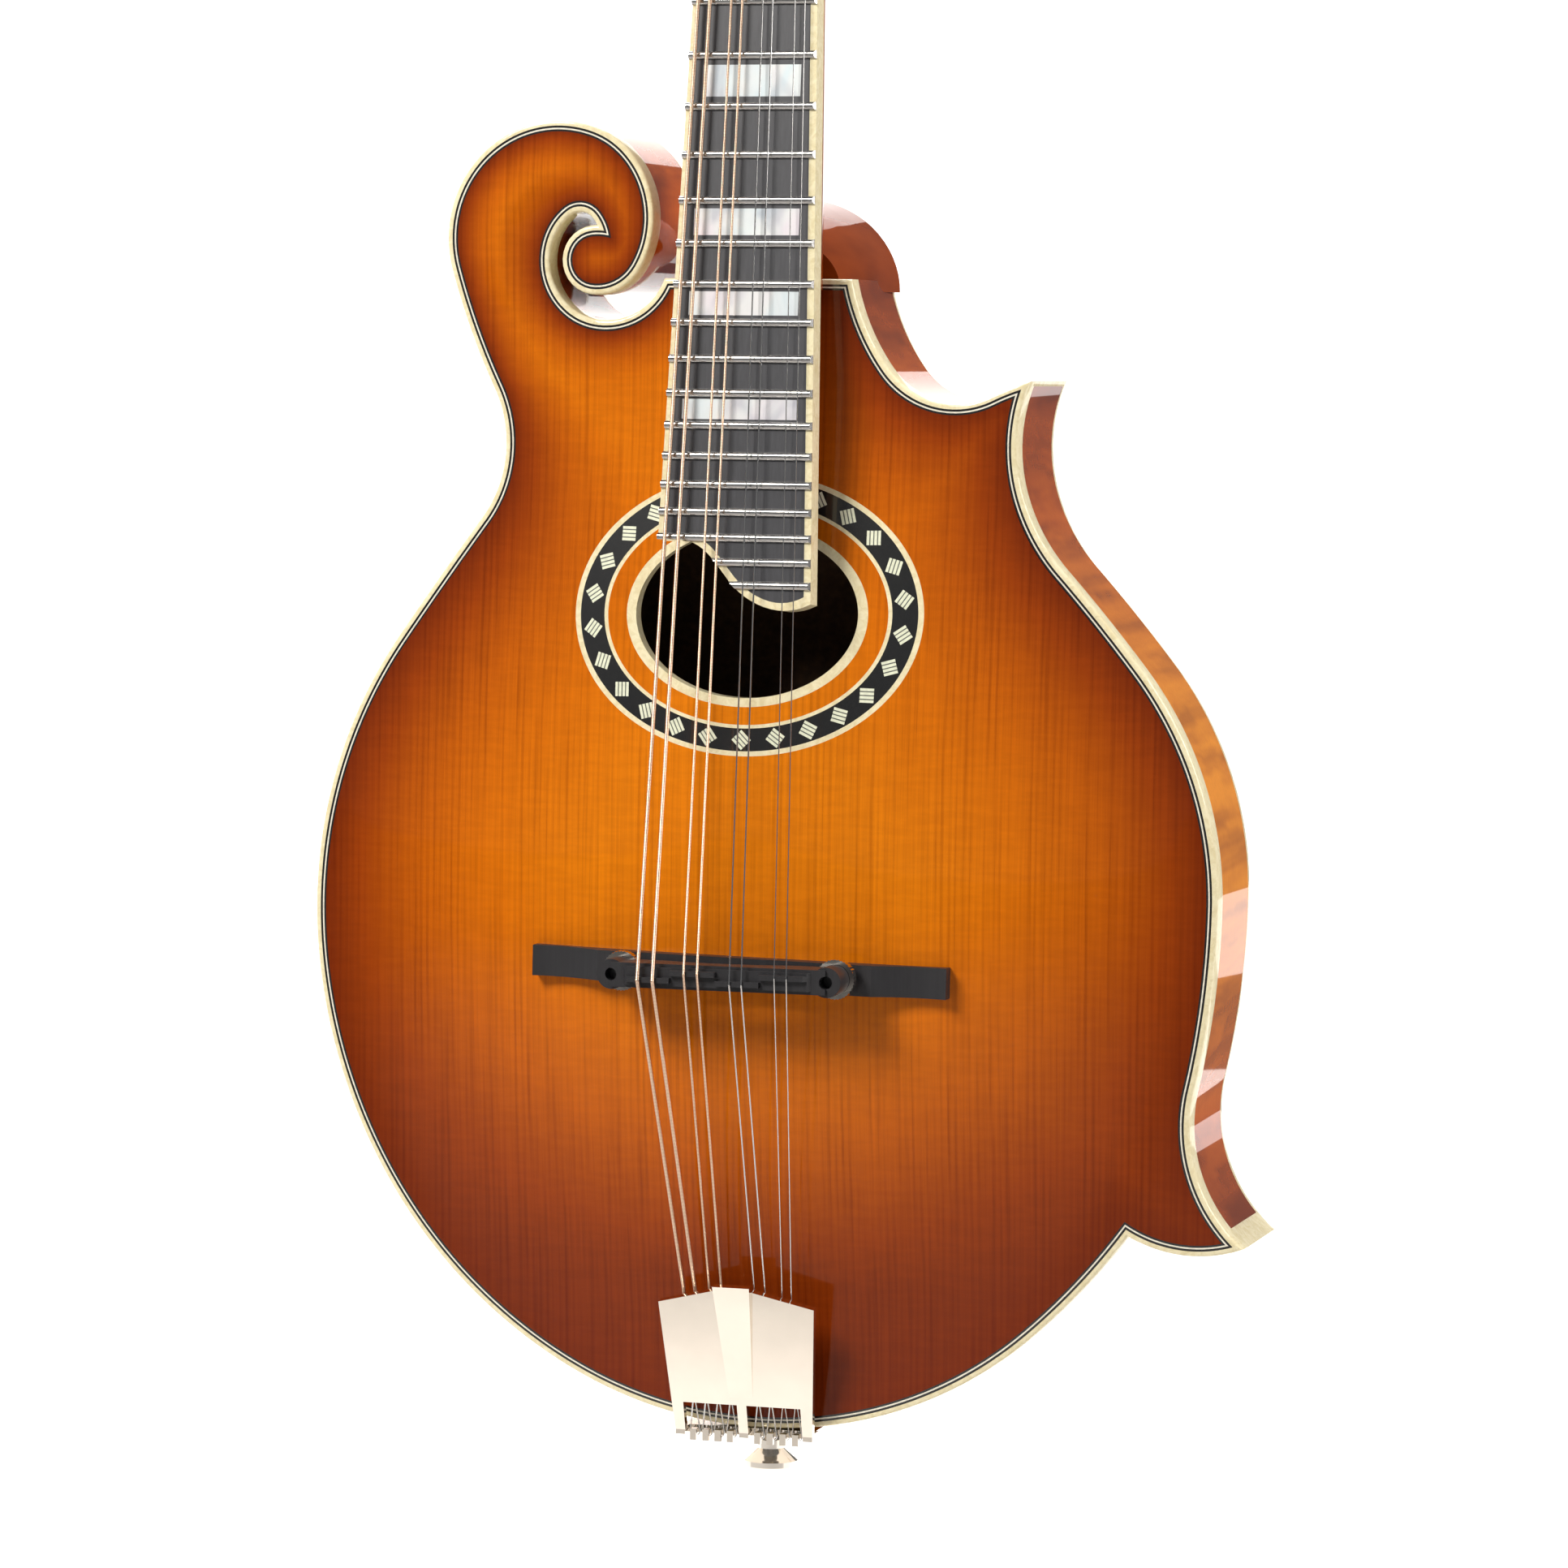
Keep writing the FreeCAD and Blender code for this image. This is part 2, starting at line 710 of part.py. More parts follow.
def heel_section(y, height, half):
    """Half an oval standing on the joint line, at one depth of the body."""
    z = Z_JOINT
    curve = Part.BSplineCurve()
    turns = [math.radians(a) for a in (0, 25, 50, 75, 90, 105, 130, 155, 180)]
    curve.interpolate([Vector(half * math.cos(a), y, z + height * math.sin(a)) for a in turns])
    base = Part.LineSegment(Vector(-half, y, z), Vector(half, y, z))
    return Part.Wire([curve.toShape(), base.toShape()])


HEAD = NECK.multiply(Placement(Vector(0, 0.6, NUT_THICKNESS),
                               Rotation(Vector(1, 0, 0), -dim("head_angle"))))


def head_outline(margin):
    """Plan of the headstock in its own frame: a waisted paddle with a domed end."""
    length = dim("head_length")
    half_nut = board_half_width(0)
    right = [(half_nut, 0), (half_nut + 2.0, 7), (half_nut + 13.5, 20), (31.5, 30),
             (29.6, 62), (30.2, 100), (33.0, length - 14)]
    right = [(x - margin, z) for x, z in right]
    curve = Part.BSplineCurve()
    curve.interpolate([Vector(x, 0, z) for x, z in right])
    mirrored = Part.BSplineCurve()
    mirrored.interpolate([Vector(-x, 0, z) for x, z in reversed(right)])
    tip = right[-1]
    dome = Part.Arc(Vector(tip[0], 0, tip[1]), Vector(0, 0, length - margin),
                    Vector(-tip[0], 0, tip[1])).toShape()
    foot = Part.LineSegment(Vector(-right[0][0], 0, 0), Vector(right[0][0], 0, 0)).toShape()
    return Part.Wire([curve.toShape(), dome, mirrored.toShape(), foot])


def head_prism(margin, y0, y1):
    face = Part.Face(head_outline(margin))
    face.translate(Vector(0, y0, 0))
    return face.extrude(Vector(0, y1 - y0, 0))


HEAD_BINDING = 1.6


def make_neck():
    sections = [neck_section(0, 13.0, 0.0), neck_section(60, 13.6, 0.0),
                neck_section(125, 14.8, 0.0), neck_section(177, 16.0, 0.0)]
    shaft = moved(Part.makeLoft(sections, True), NECK)
    shaft = shaft.cut(box(-60, 60, -60, 60, Z_JOINT - 30, Z_JOINT))
    heel = Part.makeLoft([heel_section(-13.0, 15.0, 21.5), heel_section(-5.0, 18.0, 23.5),
                          heel_section(5.0, 21.0, 25.2), heel_section(14.0, 23.0, 26.2),
                          heel_section(Y_BACK, 24.5, 27.2)], True)
    veneer = dim("veneer_thickness")
    head = head_prism(0, veneer, dim("head_thickness")).common(
        box(-60, 60, -5, 30, 0, dim("head_length") + 5))
    head = moved(head, HEAD)
    throat = moved(Part.makeLoft([neck_section(0.0, 13.0, 0.0), neck_section(-16, 12.0, -2.5)],
                                 True), NECK)
    above_face = moved(box(-60, 60, -40, veneer, -30, 60), HEAD)
    throat = throat.cut(above_face)
    neck = shaft.fuse(heel).fuse(throat).fuse(head)
    for x, z in post_places():
        hole = moved(Part.makeCylinder(dim("post_radius") + 0.35, 60, Vector(x, -20, z), BACK),
                     HEAD)
        neck = neck.cut(hole)
    channel = moved(Part.makeCylinder(2.6, 190, Vector(0, BOARD_T + 4.4, -168), Vector(0, 0, 1)),
                    NECK)
    neck = neck.cut(channel)
    neck = neck.cut(outline_prism(W_EDGE, Y_FRONT - 0.02, Y_BACK + 0.02))
    neck = neck.cut(nut_space())
    node("neck", neck.removeSplitter())
    rod = cylinder("truss_rod", "Dimensions.rod_radius", "Dimensions.rod_length",
                   Vector(0, BOARD_T + 4.4, -164), Vector(0, 0, 1), NECK)
    finish_node(rod, "truss_rod")


def make_extension():
    """The riser under the board's end, fitted to the carved front."""
    half = board_half_width(200) - 3.5
    riser = moved(box(-half, half, BOARD_T, BOARD_T + 16, -232, -172), NECK)
    riser = riser.cut(box(-60, 60, -80, 60, Z_JOINT, Z_JOINT + 40))
    riser = riser.cut(front_layer(0, 40))
    node("neck_extension", riser)


def make_head_face():
    veneer = dim("veneer_thickness")
    face = head_prism(HEAD_BINDING, 0, veneer)
    edge = head_prism(0, 0, veneer).cut(face)
    holes = [Part.makeCylinder(4.6, 20, Vector(x, -5, z), BACK) for x, z in post_places()]
    for hole in holes:
        face = face.cut(hole)
    seat = moved(nut_space(), HEAD.inverse())
    node("headstock_veneer", face.cut(seat), HEAD)
    node("headstock_binding", edge.cut(seat), HEAD)


COVER_T = dim("rod_cover_thickness")


def make_rod_cover():
    corners = [(-7.5, 6.5), (7.5, 6.5), (5.6, 20.0), (3.2, 25.5), (0, 27.5), (-3.2, 25.5),
               (-5.6, 20.0)]
    holes = [(0, 23.6), (-5.0, 9.0), (5.0, 9.0)]
    rings = [Part.Circle(Vector(x, z, 0), Vector(0, 0, 1), 0.9) for x, z in holes]
    cover = padded_body("truss_rod_cover", polygon_edges(corners) + rings,
                        "Dimensions.rod_cover_thickness", HEAD, backwards=False)
    finish_node(cover, "truss_rod_cover")
    screws = [Part.makeCylinder(1.5, 0.4, Vector(x, -COVER_T - 0.4, z), BACK).fuse(
        Part.makeCylinder(0.9, COVER_T, Vector(x, -COVER_T, z), BACK)) for x, z in holes]
    node("truss_cover_screws", Part.makeCompound(screws), HEAD)


# Tuning machines ------------------------------------------------------------------------

def post_places():
    """Posts 1 to 4 run up the bass side and 5 to 8 up the treble side."""
    places = []
    for side in (-1, 1):
        for k in range(4):
            places.append((side * dim("post_offset"), dim("first_post") + k * dim("post_spacing")))
    return places


PLATE_T = 1.2
PLATE_HALF = 8.2
Y_HEAD_BACK = dim("head_thickness")
WORM_Y = Y_HEAD_BACK + PLATE_T + 2.9
EAR_T = 1.6
EAR_INNER, EAR_OUTER = 4.8, 8.2
SHAFT_R = 1.5


def make_tuner_plates():
    first, pitch = dim("first_post"), dim("post_spacing")
    for label, side in (("tuner_plate_bass", -1), ("tuner_plate_treble", 1)):
        x = side * dim("post_offset")
        z0, z1 = first - 15.5, first + 3 * pitch + 9.0
        plate = box(x - PLATE_HALF, x + PLATE_HALF, Y_HEAD_BACK, Y_HEAD_BACK + PLATE_T, z0, z1)
        for z_end in (z0, z1):
            plate = plate.fuse(Part.makeCylinder(PLATE_HALF * 0.72, PLATE_T,
                                                 Vector(x, Y_HEAD_BACK, z_end), BACK))
        for k in range(4):
            z = first + k * pitch
            worm_z = z - dim("worm_distance")
            for reach in (-EAR_OUTER, EAR_INNER + 1.8):
                ear = box(x + reach, x + reach + EAR_T, Y_HEAD_BACK + PLATE_T,
                          WORM_Y + 3.0, worm_z - 3.0, worm_z + 3.0)
                plate = plate.fuse(ear)
            plate = plate.cut(Part.makeCylinder(SHAFT_R + 0.15, 60, Vector(x - 30, WORM_Y, worm_z),
                                                Vector(1, 0, 0)))
            plate = plate.cut(Part.makeCylinder(dim("post_radius") + 0.15, 60,
                                                Vector(x, -10, z), BACK))
        for x_screw, z_screw in screw_places(side):
            plate = plate.cut(Part.makeCylinder(0.9, 20, Vector(x_screw, Y_HEAD_BACK - 5, z_screw),
                                                BACK))
        node(label, plate.removeSplitter(), HEAD)


def screw_places(side):
    first, pitch = dim("first_post"), dim("post_spacing")
    x = side * dim("post_offset")
    levels = [first - 17.5] + [first + k * pitch + 8.6 for k in range(3)] + [
        first + 3 * pitch + 11.5]
    return [(x - side * 5.5 if 0 < k < 4 else x, z) for k, z in enumerate(levels)]


def make_plate_screws():
    screws = []
    for side in (-1, 1):
        for x, z in screw_places(side):
            y = Y_HEAD_BACK + PLATE_T
            head = Part.makeCone(1.7, 1.0, 0.9, Vector(x, y, z), BACK)
            screws.append(head.fuse(Part.makeCylinder(0.9, PLATE_T, Vector(x, Y_HEAD_BACK, z),
                                                      BACK)))
    node("tuner_plate_screws", Part.makeCompound(screws), HEAD)


def make_bushings():
    rings = []
    for number, (x, z) in enumerate(post_places(), start=1):
        start = Vector(x, dim("veneer_thickness") - dim("bushing_height"), z)
        collar = cylinder(f"bushing_collar_{number}", "Dimensions.bushing_radius",
                          "Dimensions.bushing_height", start, placement=HEAD)
        bore = cylinder(f"bushing_bore_{number}", "Dimensions.post_radius + 0.15",
                        "Dimensions.bushing_height", start, placement=HEAD)
        rings.append(cut_object(f"bushing_{number}", collar, bore))
    finish_node(gathered("post_bushings", rings), "post_bushings")


BUTTON_START = 15.5
BUTTON_HALF_WIDTH = 8.2
BUTTON_HALF_LENGTH = 7.2
BUTTON_THICKNESS = 6.0
BUTTON_ROUND = 2.4
POST_TOP = -13.0
WRAP_Y = -6.0
TURN_PITCH = 2.08            # spacing of the wound turns, in string radii


def make_tuner_key(number, x, z):
    """Worm shaft with its button, lying across the back of the headstock."""
    side = 1 if x > 0 else -1
    out = Vector(side, 0, 0)
    worm_z = z - dim("worm_distance")
    at = lambda reach: Vector(x + side * reach, WORM_Y, worm_z)
    shaft = Part.makeCylinder(SHAFT_R, 9.2 + BUTTON_START + 3, at(-9.2), out)
    worm = Part.makeCylinder(dim("worm_radius"), 12.4, at(-6.2), out)
    collar = Part.makeCone(2.6, 2.0, 3.2, at(BUTTON_START - 3.0), out)
    oval = Part.Ellipse(Vector(0, 0, 0), BUTTON_HALF_WIDTH, BUTTON_HALF_LENGTH).toShape()
    blank = Part.Face(Part.Wire(oval)).extrude(Vector(0, 0, BUTTON_THICKNESS))
    blank = blank.makeFillet(BUTTON_ROUND, [e for e in blank.Edges if len(e.Vertexes) == 1])
    middle = Vector(0, 0, -BUTTON_THICKNESS / 2)
    turn = Rotation(Vector(0, 0, -1), Vector(side, 0, 0), Vector(0, -1, 0), "XZY")
    seat = Placement(at(BUTTON_START + BUTTON_HALF_LENGTH - 0.8), turn)
    button = moved(blank, seat.multiply(Placement(middle, Rotation())))
    node(f"tuner_key_{number}", shaft.fuse([worm, collar, button]), HEAD)


def gear_solid(centre_y):
    """A toothed wheel about the post, with as many teeth as the sheet says."""
    teeth = int(dim("gear_teeth"))
    tip, root = dim("gear_radius"), dim("gear_radius") - 1.0
    points = []
    for k in range(teeth):
        middle = 2 * math.pi * k / teeth
        for angle, radius in ((-0.30, root), (-0.16, tip), (0.16, tip), (0.30, root)):
            a = middle + angle * 2 * math.pi / teeth
            points.append((radius * math.sin(a), radius * math.cos(a)))
    return flat_polygon(points, centre_y - dim("gear_thickness") / 2, dim("gear_thickness"))


def make_string_post(number, x, z, string_radius):
    """Post, gear, gear screw and the turns of string wound on the post."""
    radius = dim("post_radius")
    gear_y = WORM_Y
    post = Part.makeCylinder(radius, WORM_Y - 1.0 - POST_TOP, Vector(0, POST_TOP, 0), BACK)
    hub = Part.makeCylinder(radius + 1.0, 0.6, Vector(0, Y_HEAD_BACK + PLATE_T + 0.3, 0), BACK)
    gear = gear_solid(gear_y)
    screw = Part.makeCone(2.5, 2.0, 1.2, Vector(0, gear_y + dim("gear_thickness") / 2, 0), BACK)
    slot = box(-3, 3, gear_y + dim("gear_thickness") / 2 + 0.6, gear_y + 4, -0.35, 0.35)
    post = post.fuse([hub, gear, screw.cut(slot)])
    hole = Part.makeCylinder(0.7, 12, Vector(-6, WRAP_Y - 2.6, 0), Vector(1, 0, 0))
    post = post.cut(hole)
    turns = []
    for k in range(3):
        y = WRAP_Y + (k - 1) * TURN_PITCH * string_radius
        turns.append(Part.makeTorus(radius + string_radius + 0.02, string_radius,
                                    Vector(0, y, 0), BACK))
    shape = Part.makeCompound([post] + turns)
    node(f"string_post_{number}", shape, HEAD.multiply(Placement(Vector(x, 0, z), Rotation())))


# Strings --------------------------------------------------------------------------------

CREST_HALF = 23.4
CREST_DROP = 0.4
CREST_RIDGE = 0.7
# Compensation of the saddle's crest for each pair of strings: (from x, to x, shift).
CREST_STEPS = ((-26.0, -12.2, -0.9), (-12.2, 0, 1.1), (0, 11.8, -1.1), (11.8, 26.0, 0.9))


def crest_y(x):
    return dim("saddle_crest") + CREST_DROP * (x / CREST_HALF) ** 2


def saddle_point(n):
    """Where a string bends over the saddle's crest."""
    x = STRING_X_SADDLE[n]
    shift = next(step for x0, x1, step in CREST_STEPS if x0 <= x < x1)
    return Vector(x, crest_y(x) - STRING_RADII[n] - 0.2, dim("bridge_level") + shift)


STRING_X_NUT = (-12.0, -9.2, -4.6, -1.9, 2.1, 4.5, 9.3, 11.7)
STRING_X_SADDLE = (-20.5, -16.4, -8.0, -4.4, 4.2, 7.4, 16.1, 19.3)
STRING_X_FRONT = (-14.0, -10.9, -6.9, -3.6, 5.4, 8.3, 12.9, 15.4)
HOOK_X = (-13.4, -10.0, -6.7, -3.3, 4.2, 7.6, 11.1, 14.5)
STRING_RADII = (0.50, 0.50, 0.33, 0.33, 0.205, 0.205, 0.14, 0.14)
POST_OF_STRING = (1, 2, 3, 4, 8, 7, 6, 5)
HOOK_LEVEL = -475.7
LOOP_TWIST_LEVEL = -466.5


def tube(points, radius):
    """A round wire along straight runs."""
    path = Part.makePolygon(points)
    start = points[0]
    direction = points[1] - points[0]
    ring = Part.Wire(Part.Circle(start, direction, radius).toShape())
    shell = path.makePipeShell([ring], True, False, 1)
    return shell


def cover_y(z):
    """Depth of the tailpiece's upper face."""
    return Y_FRONT - 14.0 + (-440.0 - z) * 10.0 / 36.4


def make_strings():
    groups = (("strings_wound", (0, 1, 2, 3)), ("strings_plain", (4, 5, 6, 7)))
    posts = post_places()
    for label, members in groups:
        wires = []
        for n in members:
            radius = STRING_RADII[n]
            number = POST_OF_STRING[n]
            post_x, post_z = posts[number - 1]
            side = -1 if post_x > 0 else 1
            wrap = dim("post_radius") + radius + 0.15
            level = WRAP_Y + 2 * TURN_PITCH * radius + 0.12
            leave = HEAD.multVec(Vector(post_x + side * wrap, level, post_z))
            nut = NECK.multVec(Vector(STRING_X_NUT[n], -string_height(radius), NUT_BREAK))
            saddle = saddle_point(n)
            edge = Vector(STRING_X_FRONT[n], cover_y(-436.5) + 2.9 + radius, -436.5)
            twist = Vector(HOOK_X[n], cover_y(LOOP_TWIST_LEVEL) + 3.2, LOOP_TWIST_LEVEL)
            wires.append(tube([leave, nut, saddle, edge, twist], radius))
            wires.append(loop_wire(n, twist))
            print(label, n, "length", round(sum((b - a).Length for a, b in zip(
                [leave, nut, saddle, edge], [nut, saddle, edge, twist])), 1))
        node(label, Part.makeCompound(wires))


def loop_wire(n, twist):
    """The loop at the string's end, round its hook."""
    reach = 1.35
    wire_radius = min(STRING_RADII[n], 0.2)
    y = twist.y
    x = twist.x
    top = twist.z - wire_radius * 2 - 0.35
    low = HOOK_LEVEL
    points = [Vector(x + 0.24, y, top)]
    for k in range(7):
        a = math.radians(10 - 200 * k / 6)
        points.append(Vector(x + reach * math.cos(a), y + 1.2, low + reach * math.sin(a)))
    points.append(Vector(x - 0.24, y, top))
    return tube(points, wire_radius)


# Bridge ---------------------------------------------------------------------------------

Z_BRIDGE = dim("bridge_level")
STUDS = (-28.8, 28.8)
BASE_TOP = Y_FRONT - 15.4
WHEEL_GAP = 0.25


def make_bridge_base():
    """Ebony foot shaped to the arch, thin at the ends and thicker under the studs."""
    half, width = dim("bridge_length") / 2, dim("bridge_width")
    z0, z1 = Z_BRIDGE - width / 2, Z_BRIDGE + width / 2
    top = [(-half, Y_FRONT - 12.2), (-half + 14, Y_FRONT - 13.2), (-37, BASE_TOP), (37, BASE_TOP),
           (half - 14, Y_FRONT - 13.2), (half, Y_FRONT - 12.2)]
    curve = Part.BSplineCurve()
    points = [Vector(x, y, z0) for x, y in top]
    curve.interpolate(points)
    low = [Vector(half, Y_FRONT + 2, z0), Vector(-half, Y_FRONT + 2, z0)]
    outline = Part.Wire([curve.toShape(), Part.LineSegment(points[-1], low[0]).toShape(),
                         Part.LineSegment(low[0], low[1]).toShape(),
                         Part.LineSegment(low[1], points[0]).toShape()])
    block = Part.Face(outline).extrude(Vector(0, 0, z1 - z0))
    block.rotate(Vector(0, 0, Z_BRIDGE), BACK, dim("bridge_skew"))
    block = block.cut(front_layer(0, 30))
    flat = box(-40, 40, BASE_TOP - 10, BASE_TOP, z0 - 2, z1 + 2)
    block = block.cut(flat)
    for x in STUDS:
        block = block.cut(Part.makeCylinder(dim("stud_radius"), 4.0, Vector(x, BASE_TOP, Z_BRIDGE),
                                            BACK))
    node("bridge_base", block)


SADDLE_FOOT = dim("saddle_crest") + 11.2
WHEEL_TOP = SADDLE_FOOT + WHEEL_GAP
STUD_TOP = dim("saddle_crest") + 6.4


def make_studs():
    height = f"{BASE_TOP + 4.0} - (Dimensions.saddle_crest + 6.4)"
    studs = [cylinder(f"stud_{side}", "Dimensions.stud_radius", height,
                      Vector(x, STUD_TOP, Z_BRIDGE)) for side, x in zip(("bass", "treble"), STUDS)]
    finish_node(gathered("bridge_posts", studs), "bridge_posts")


def make_thumbwheels():
    """Knurled wheels on the studs, under the saddle."""
    radius = dim("wheel_radius")
    notches = 36
    points = []
    for k in range(notches):
        for part, r in ((0, radius), (0.5, radius - 0.22)):
            a = 2 * math.pi * (k + part) / notches
            points.append((r * math.cos(a), r * math.sin(a)))
    thread = Part.Circle(Vector(0, 0, 0), Vector(0, 0, 1), dim("stud_radius") + 0.12)
    for label, x in (("thumbwheel_bass", STUDS[0]), ("thumbwheel_treble", STUDS[1])):
        wheel = padded_body(label, polygon_edges(points) + [thread], "Dimensions.wheel_height",
                            Placement(Vector(x, WHEEL_TOP, Z_BRIDGE), Rotation()))
        finish_node(wheel, label)


def make_saddle():
    """Saddle with rounded ends that slide on the studs and a compensated crest."""
    half, width = 34.3, 6.4
    y_top = dim("saddle_crest")
    foot = SADDLE_FOOT
    bar = box(STUDS[0], STUDS[1], y_top + 2.6, foot, Z_BRIDGE - width / 2, Z_BRIDGE + width / 2)
    for x in STUDS:
        bar = bar.fuse(Part.makeCylinder(width / 2 + 0.7, foot - y_top - 3.4,
                                         Vector(x, y_top + 3.4, Z_BRIDGE), BACK))
    low = Z_BRIDGE - 2.4
    corners = [Vector(x, crest_y(x), low) for x in (-CREST_HALF, 0, CREST_HALF)]
    feet = [Vector(x, y_top + 3.0, low) for x in (CREST_HALF + 2.0, -CREST_HALF - 2.0)]
    crown = Part.Wire([Part.Arc(*corners).toShape(),
                       Part.LineSegment(corners[2], feet[0]).toShape(),
                       Part.LineSegment(feet[0], feet[1]).toShape(),
                       Part.LineSegment(feet[1], corners[0]).toShape()])
    bar = bar.fuse(Part.Face(crown).extrude(Vector(0, 0, 4.8)))
    for x0, x1, shift in CREST_STEPS:
        middle = Z_BRIDGE + shift
        bar = bar.cut(box(x0, x1, y_top - 3, y_top + 1.6, Z_BRIDGE - 6, middle - CREST_RIDGE))
        bar = bar.cut(box(x0, x1, y_top - 3, y_top + 1.6, middle + CREST_RIDGE, Z_BRIDGE + 6))
    arch = Part.makeCylinder(60, 20, Vector(0, foot + 57.4, Z_BRIDGE - 10), Vector(0, 0, 1))
    bar = bar.cut(arch)
    for x in STUDS:
        bar = bar.cut(Part.makeCylinder(dim("stud_radius") + 0.15, 30,
                                        Vector(x, y_top - 5, Z_BRIDGE), BACK))
    node("bridge_saddle", bar.removeSplitter())


# Tailpiece and strap button -------------------------------------------------------------

TAIL_X = 0.5
COVER_THICKNESS = 2.0


def cover_plan():
    """Plan of the tailpiece, front edge upwards, drawn about its own middle."""
    return [(-18.7, -476.8), (-20.6, -440.2), (-5.0, -436.2), (5.0, -436.2), (21.6, -440.2),
            (18.7, -476.8)]


def make_tailpiece():
    tilt = Placement(Vector(TAIL_X, cover_y(-440.0), -440.0),
                     Rotation(Vector(1, 0, 0), math.degrees(math.atan2(10.0, 36.4))))
    local = [(x, z + 440.0) for x, z in cover_plan()]
    cover = flat_polygon(local, 0, COVER_THICKNESS)
    for x0, x1 in ((-16.0, -1.3), (1.3, 16.0)):
        cover = cover.cut(box(x0, x1, -2, 5, -40, -28.6))
    rib = flat_polygon([(-5.0, 5.6), (5.0, 5.6), (3.2, -27.0), (-3.2, -27.0)], -1.7, 1.9)
    wedge = box(-10, 10, -8, 0, -60, 60)
    wedge.Placement = Placement(Vector(0, -1.7, 6.0), Rotation(Vector(1, 0, 0), 3.0))
    rib = rib.cut(wedge)
    top = moved(cover.fuse(rib), tilt)
    z_wall = dim("button_level") - 0.1
    foot = box(-17.5, 18.5, cover_y(z_wall) + 4.4, 18.0, z_wall - 2.0, z_wall)
    neck_bars = []
    for x0, x1 in ((-18.2, -15.6), (-0.75, 1.75), (16.6, 19.2)):
        neck_bars.append(box(x0, x1, cover_y(z_wall) + 0.2, cover_y(z_wall) + 6, z_wall - 2.0,
                             z_wall))
    top = top.fuse([foot] + neck_bars)
    for x in HOOK_X:
        stem = box(x - 0.7, x + 0.7, cover_y(z_wall) + 0.8, cover_y(z_wall) + 5, z_wall - 2.0,
                   z_wall - 0.4)
        lip = box(x - 0.85, x + 0.85, cover_y(z_wall) + 0.2, cover_y(z_wall) + 1.4, z_wall - 3.4,
                  z_wall - 0.4)
        top = top.fuse(stem).fuse(lip)
    holes = [(0.5, dim("button_depth"), 3.2), (-11.5, 10.5, 1.3), (12.5, 10.5, 1.3)]
    for x, y, radius in holes:
        top = top.cut(Part.makeCylinder(radius, 20, Vector(x, y, z_wall - 10), Vector(0, 0, 1)))
    node("tailpiece", top.removeSplitter())
    screws = []
    for x, y, radius in holes[1:]:
        head = Part.makeCone(1.9, 2.5, 1.2, Vector(x, y, z_wall - 3.2), Vector(0, 0, 1))
        shank = Part.makeCylinder(1.3, 2.0, Vector(x, y, z_wall - 2.0), Vector(0, 0, 1))
        screws.append(head.fuse(shank))
    node("tailpiece_screws", Part.makeCompound(screws))


def make_button():
    """Turned strap button: collar, waist, flange and domed end."""
    profile = [(0, 0), (5.4, 0), (5.4, -2.6), (3.6, -4.4), (3.6, -6.6), (6.9, -9.2), (7.6, -9.7),
               (7.6, -11.1), (7.0, -11.6), (4.2, -12.3), (0, -12.6)]
    level = dim("button_level") - 2.1
    revolved_body("strap_button", profile,
                  Placement(Vector(0.5, dim("button_depth"), level), Rotation()))


make_soundboard()
make_rosette()
make_back_plate()
make_edges()
make_blocks()
make_linings()
make_braces()
make_fretboard()
make_frets()
make_side_dots()
make_nut()
make_neck()
make_extension()
make_head_face()
make_rod_cover()
make_tuner_plates()
make_plate_screws()
make_bushings()
for index, (post_x, post_z) in enumerate(post_places(), start=1):
    make_tuner_key(index, post_x, post_z)
    make_string_post(index, post_x, post_z, STRING_RADII[POST_OF_STRING.index(index)])
make_strings()
make_bridge_base()
make_studs()
make_thumbwheels()
make_saddle()
make_tailpiece()
make_button()

doc.recompute()
problems = []
for item in doc.Objects:
    if "Invalid" in item.State or "Error" in item.State:
        problems.append(f"{item.Label}: {item.State}")
for item in NODES:
    if item.Shape.isNull() or not item.Shape.isValid():
        problems.append(f"{item.Label}: no valid shape")
if problems:
    raise RuntimeError("; ".join(problems))

os.makedirs("parts", exist_ok=True)
for item in NODES:
    item.Shape.exportStep(f"parts/{item.Label}.step")
    print(item.Label, len(item.Shape.Solids), round(item.Shape.Volume, 1))
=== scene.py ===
import math

import bpy
import numpy as np
from mathutils import Matrix, Vector, kdtree
from mathutils.geometry import delaunay_2d_cdt


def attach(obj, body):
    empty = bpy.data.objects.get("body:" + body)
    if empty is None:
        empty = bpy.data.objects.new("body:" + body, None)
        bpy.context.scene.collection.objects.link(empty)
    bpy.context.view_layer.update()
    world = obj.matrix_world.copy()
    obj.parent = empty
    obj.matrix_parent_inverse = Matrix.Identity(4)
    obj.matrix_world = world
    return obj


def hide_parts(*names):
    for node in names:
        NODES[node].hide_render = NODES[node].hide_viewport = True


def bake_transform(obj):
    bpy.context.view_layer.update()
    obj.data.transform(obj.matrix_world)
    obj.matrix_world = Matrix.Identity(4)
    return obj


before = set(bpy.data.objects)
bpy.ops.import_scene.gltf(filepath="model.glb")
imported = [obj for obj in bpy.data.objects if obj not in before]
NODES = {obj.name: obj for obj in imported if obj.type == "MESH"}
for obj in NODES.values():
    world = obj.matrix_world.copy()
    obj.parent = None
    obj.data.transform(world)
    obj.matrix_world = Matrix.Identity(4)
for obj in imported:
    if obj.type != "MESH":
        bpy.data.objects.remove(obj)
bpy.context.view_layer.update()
MM = 0.001

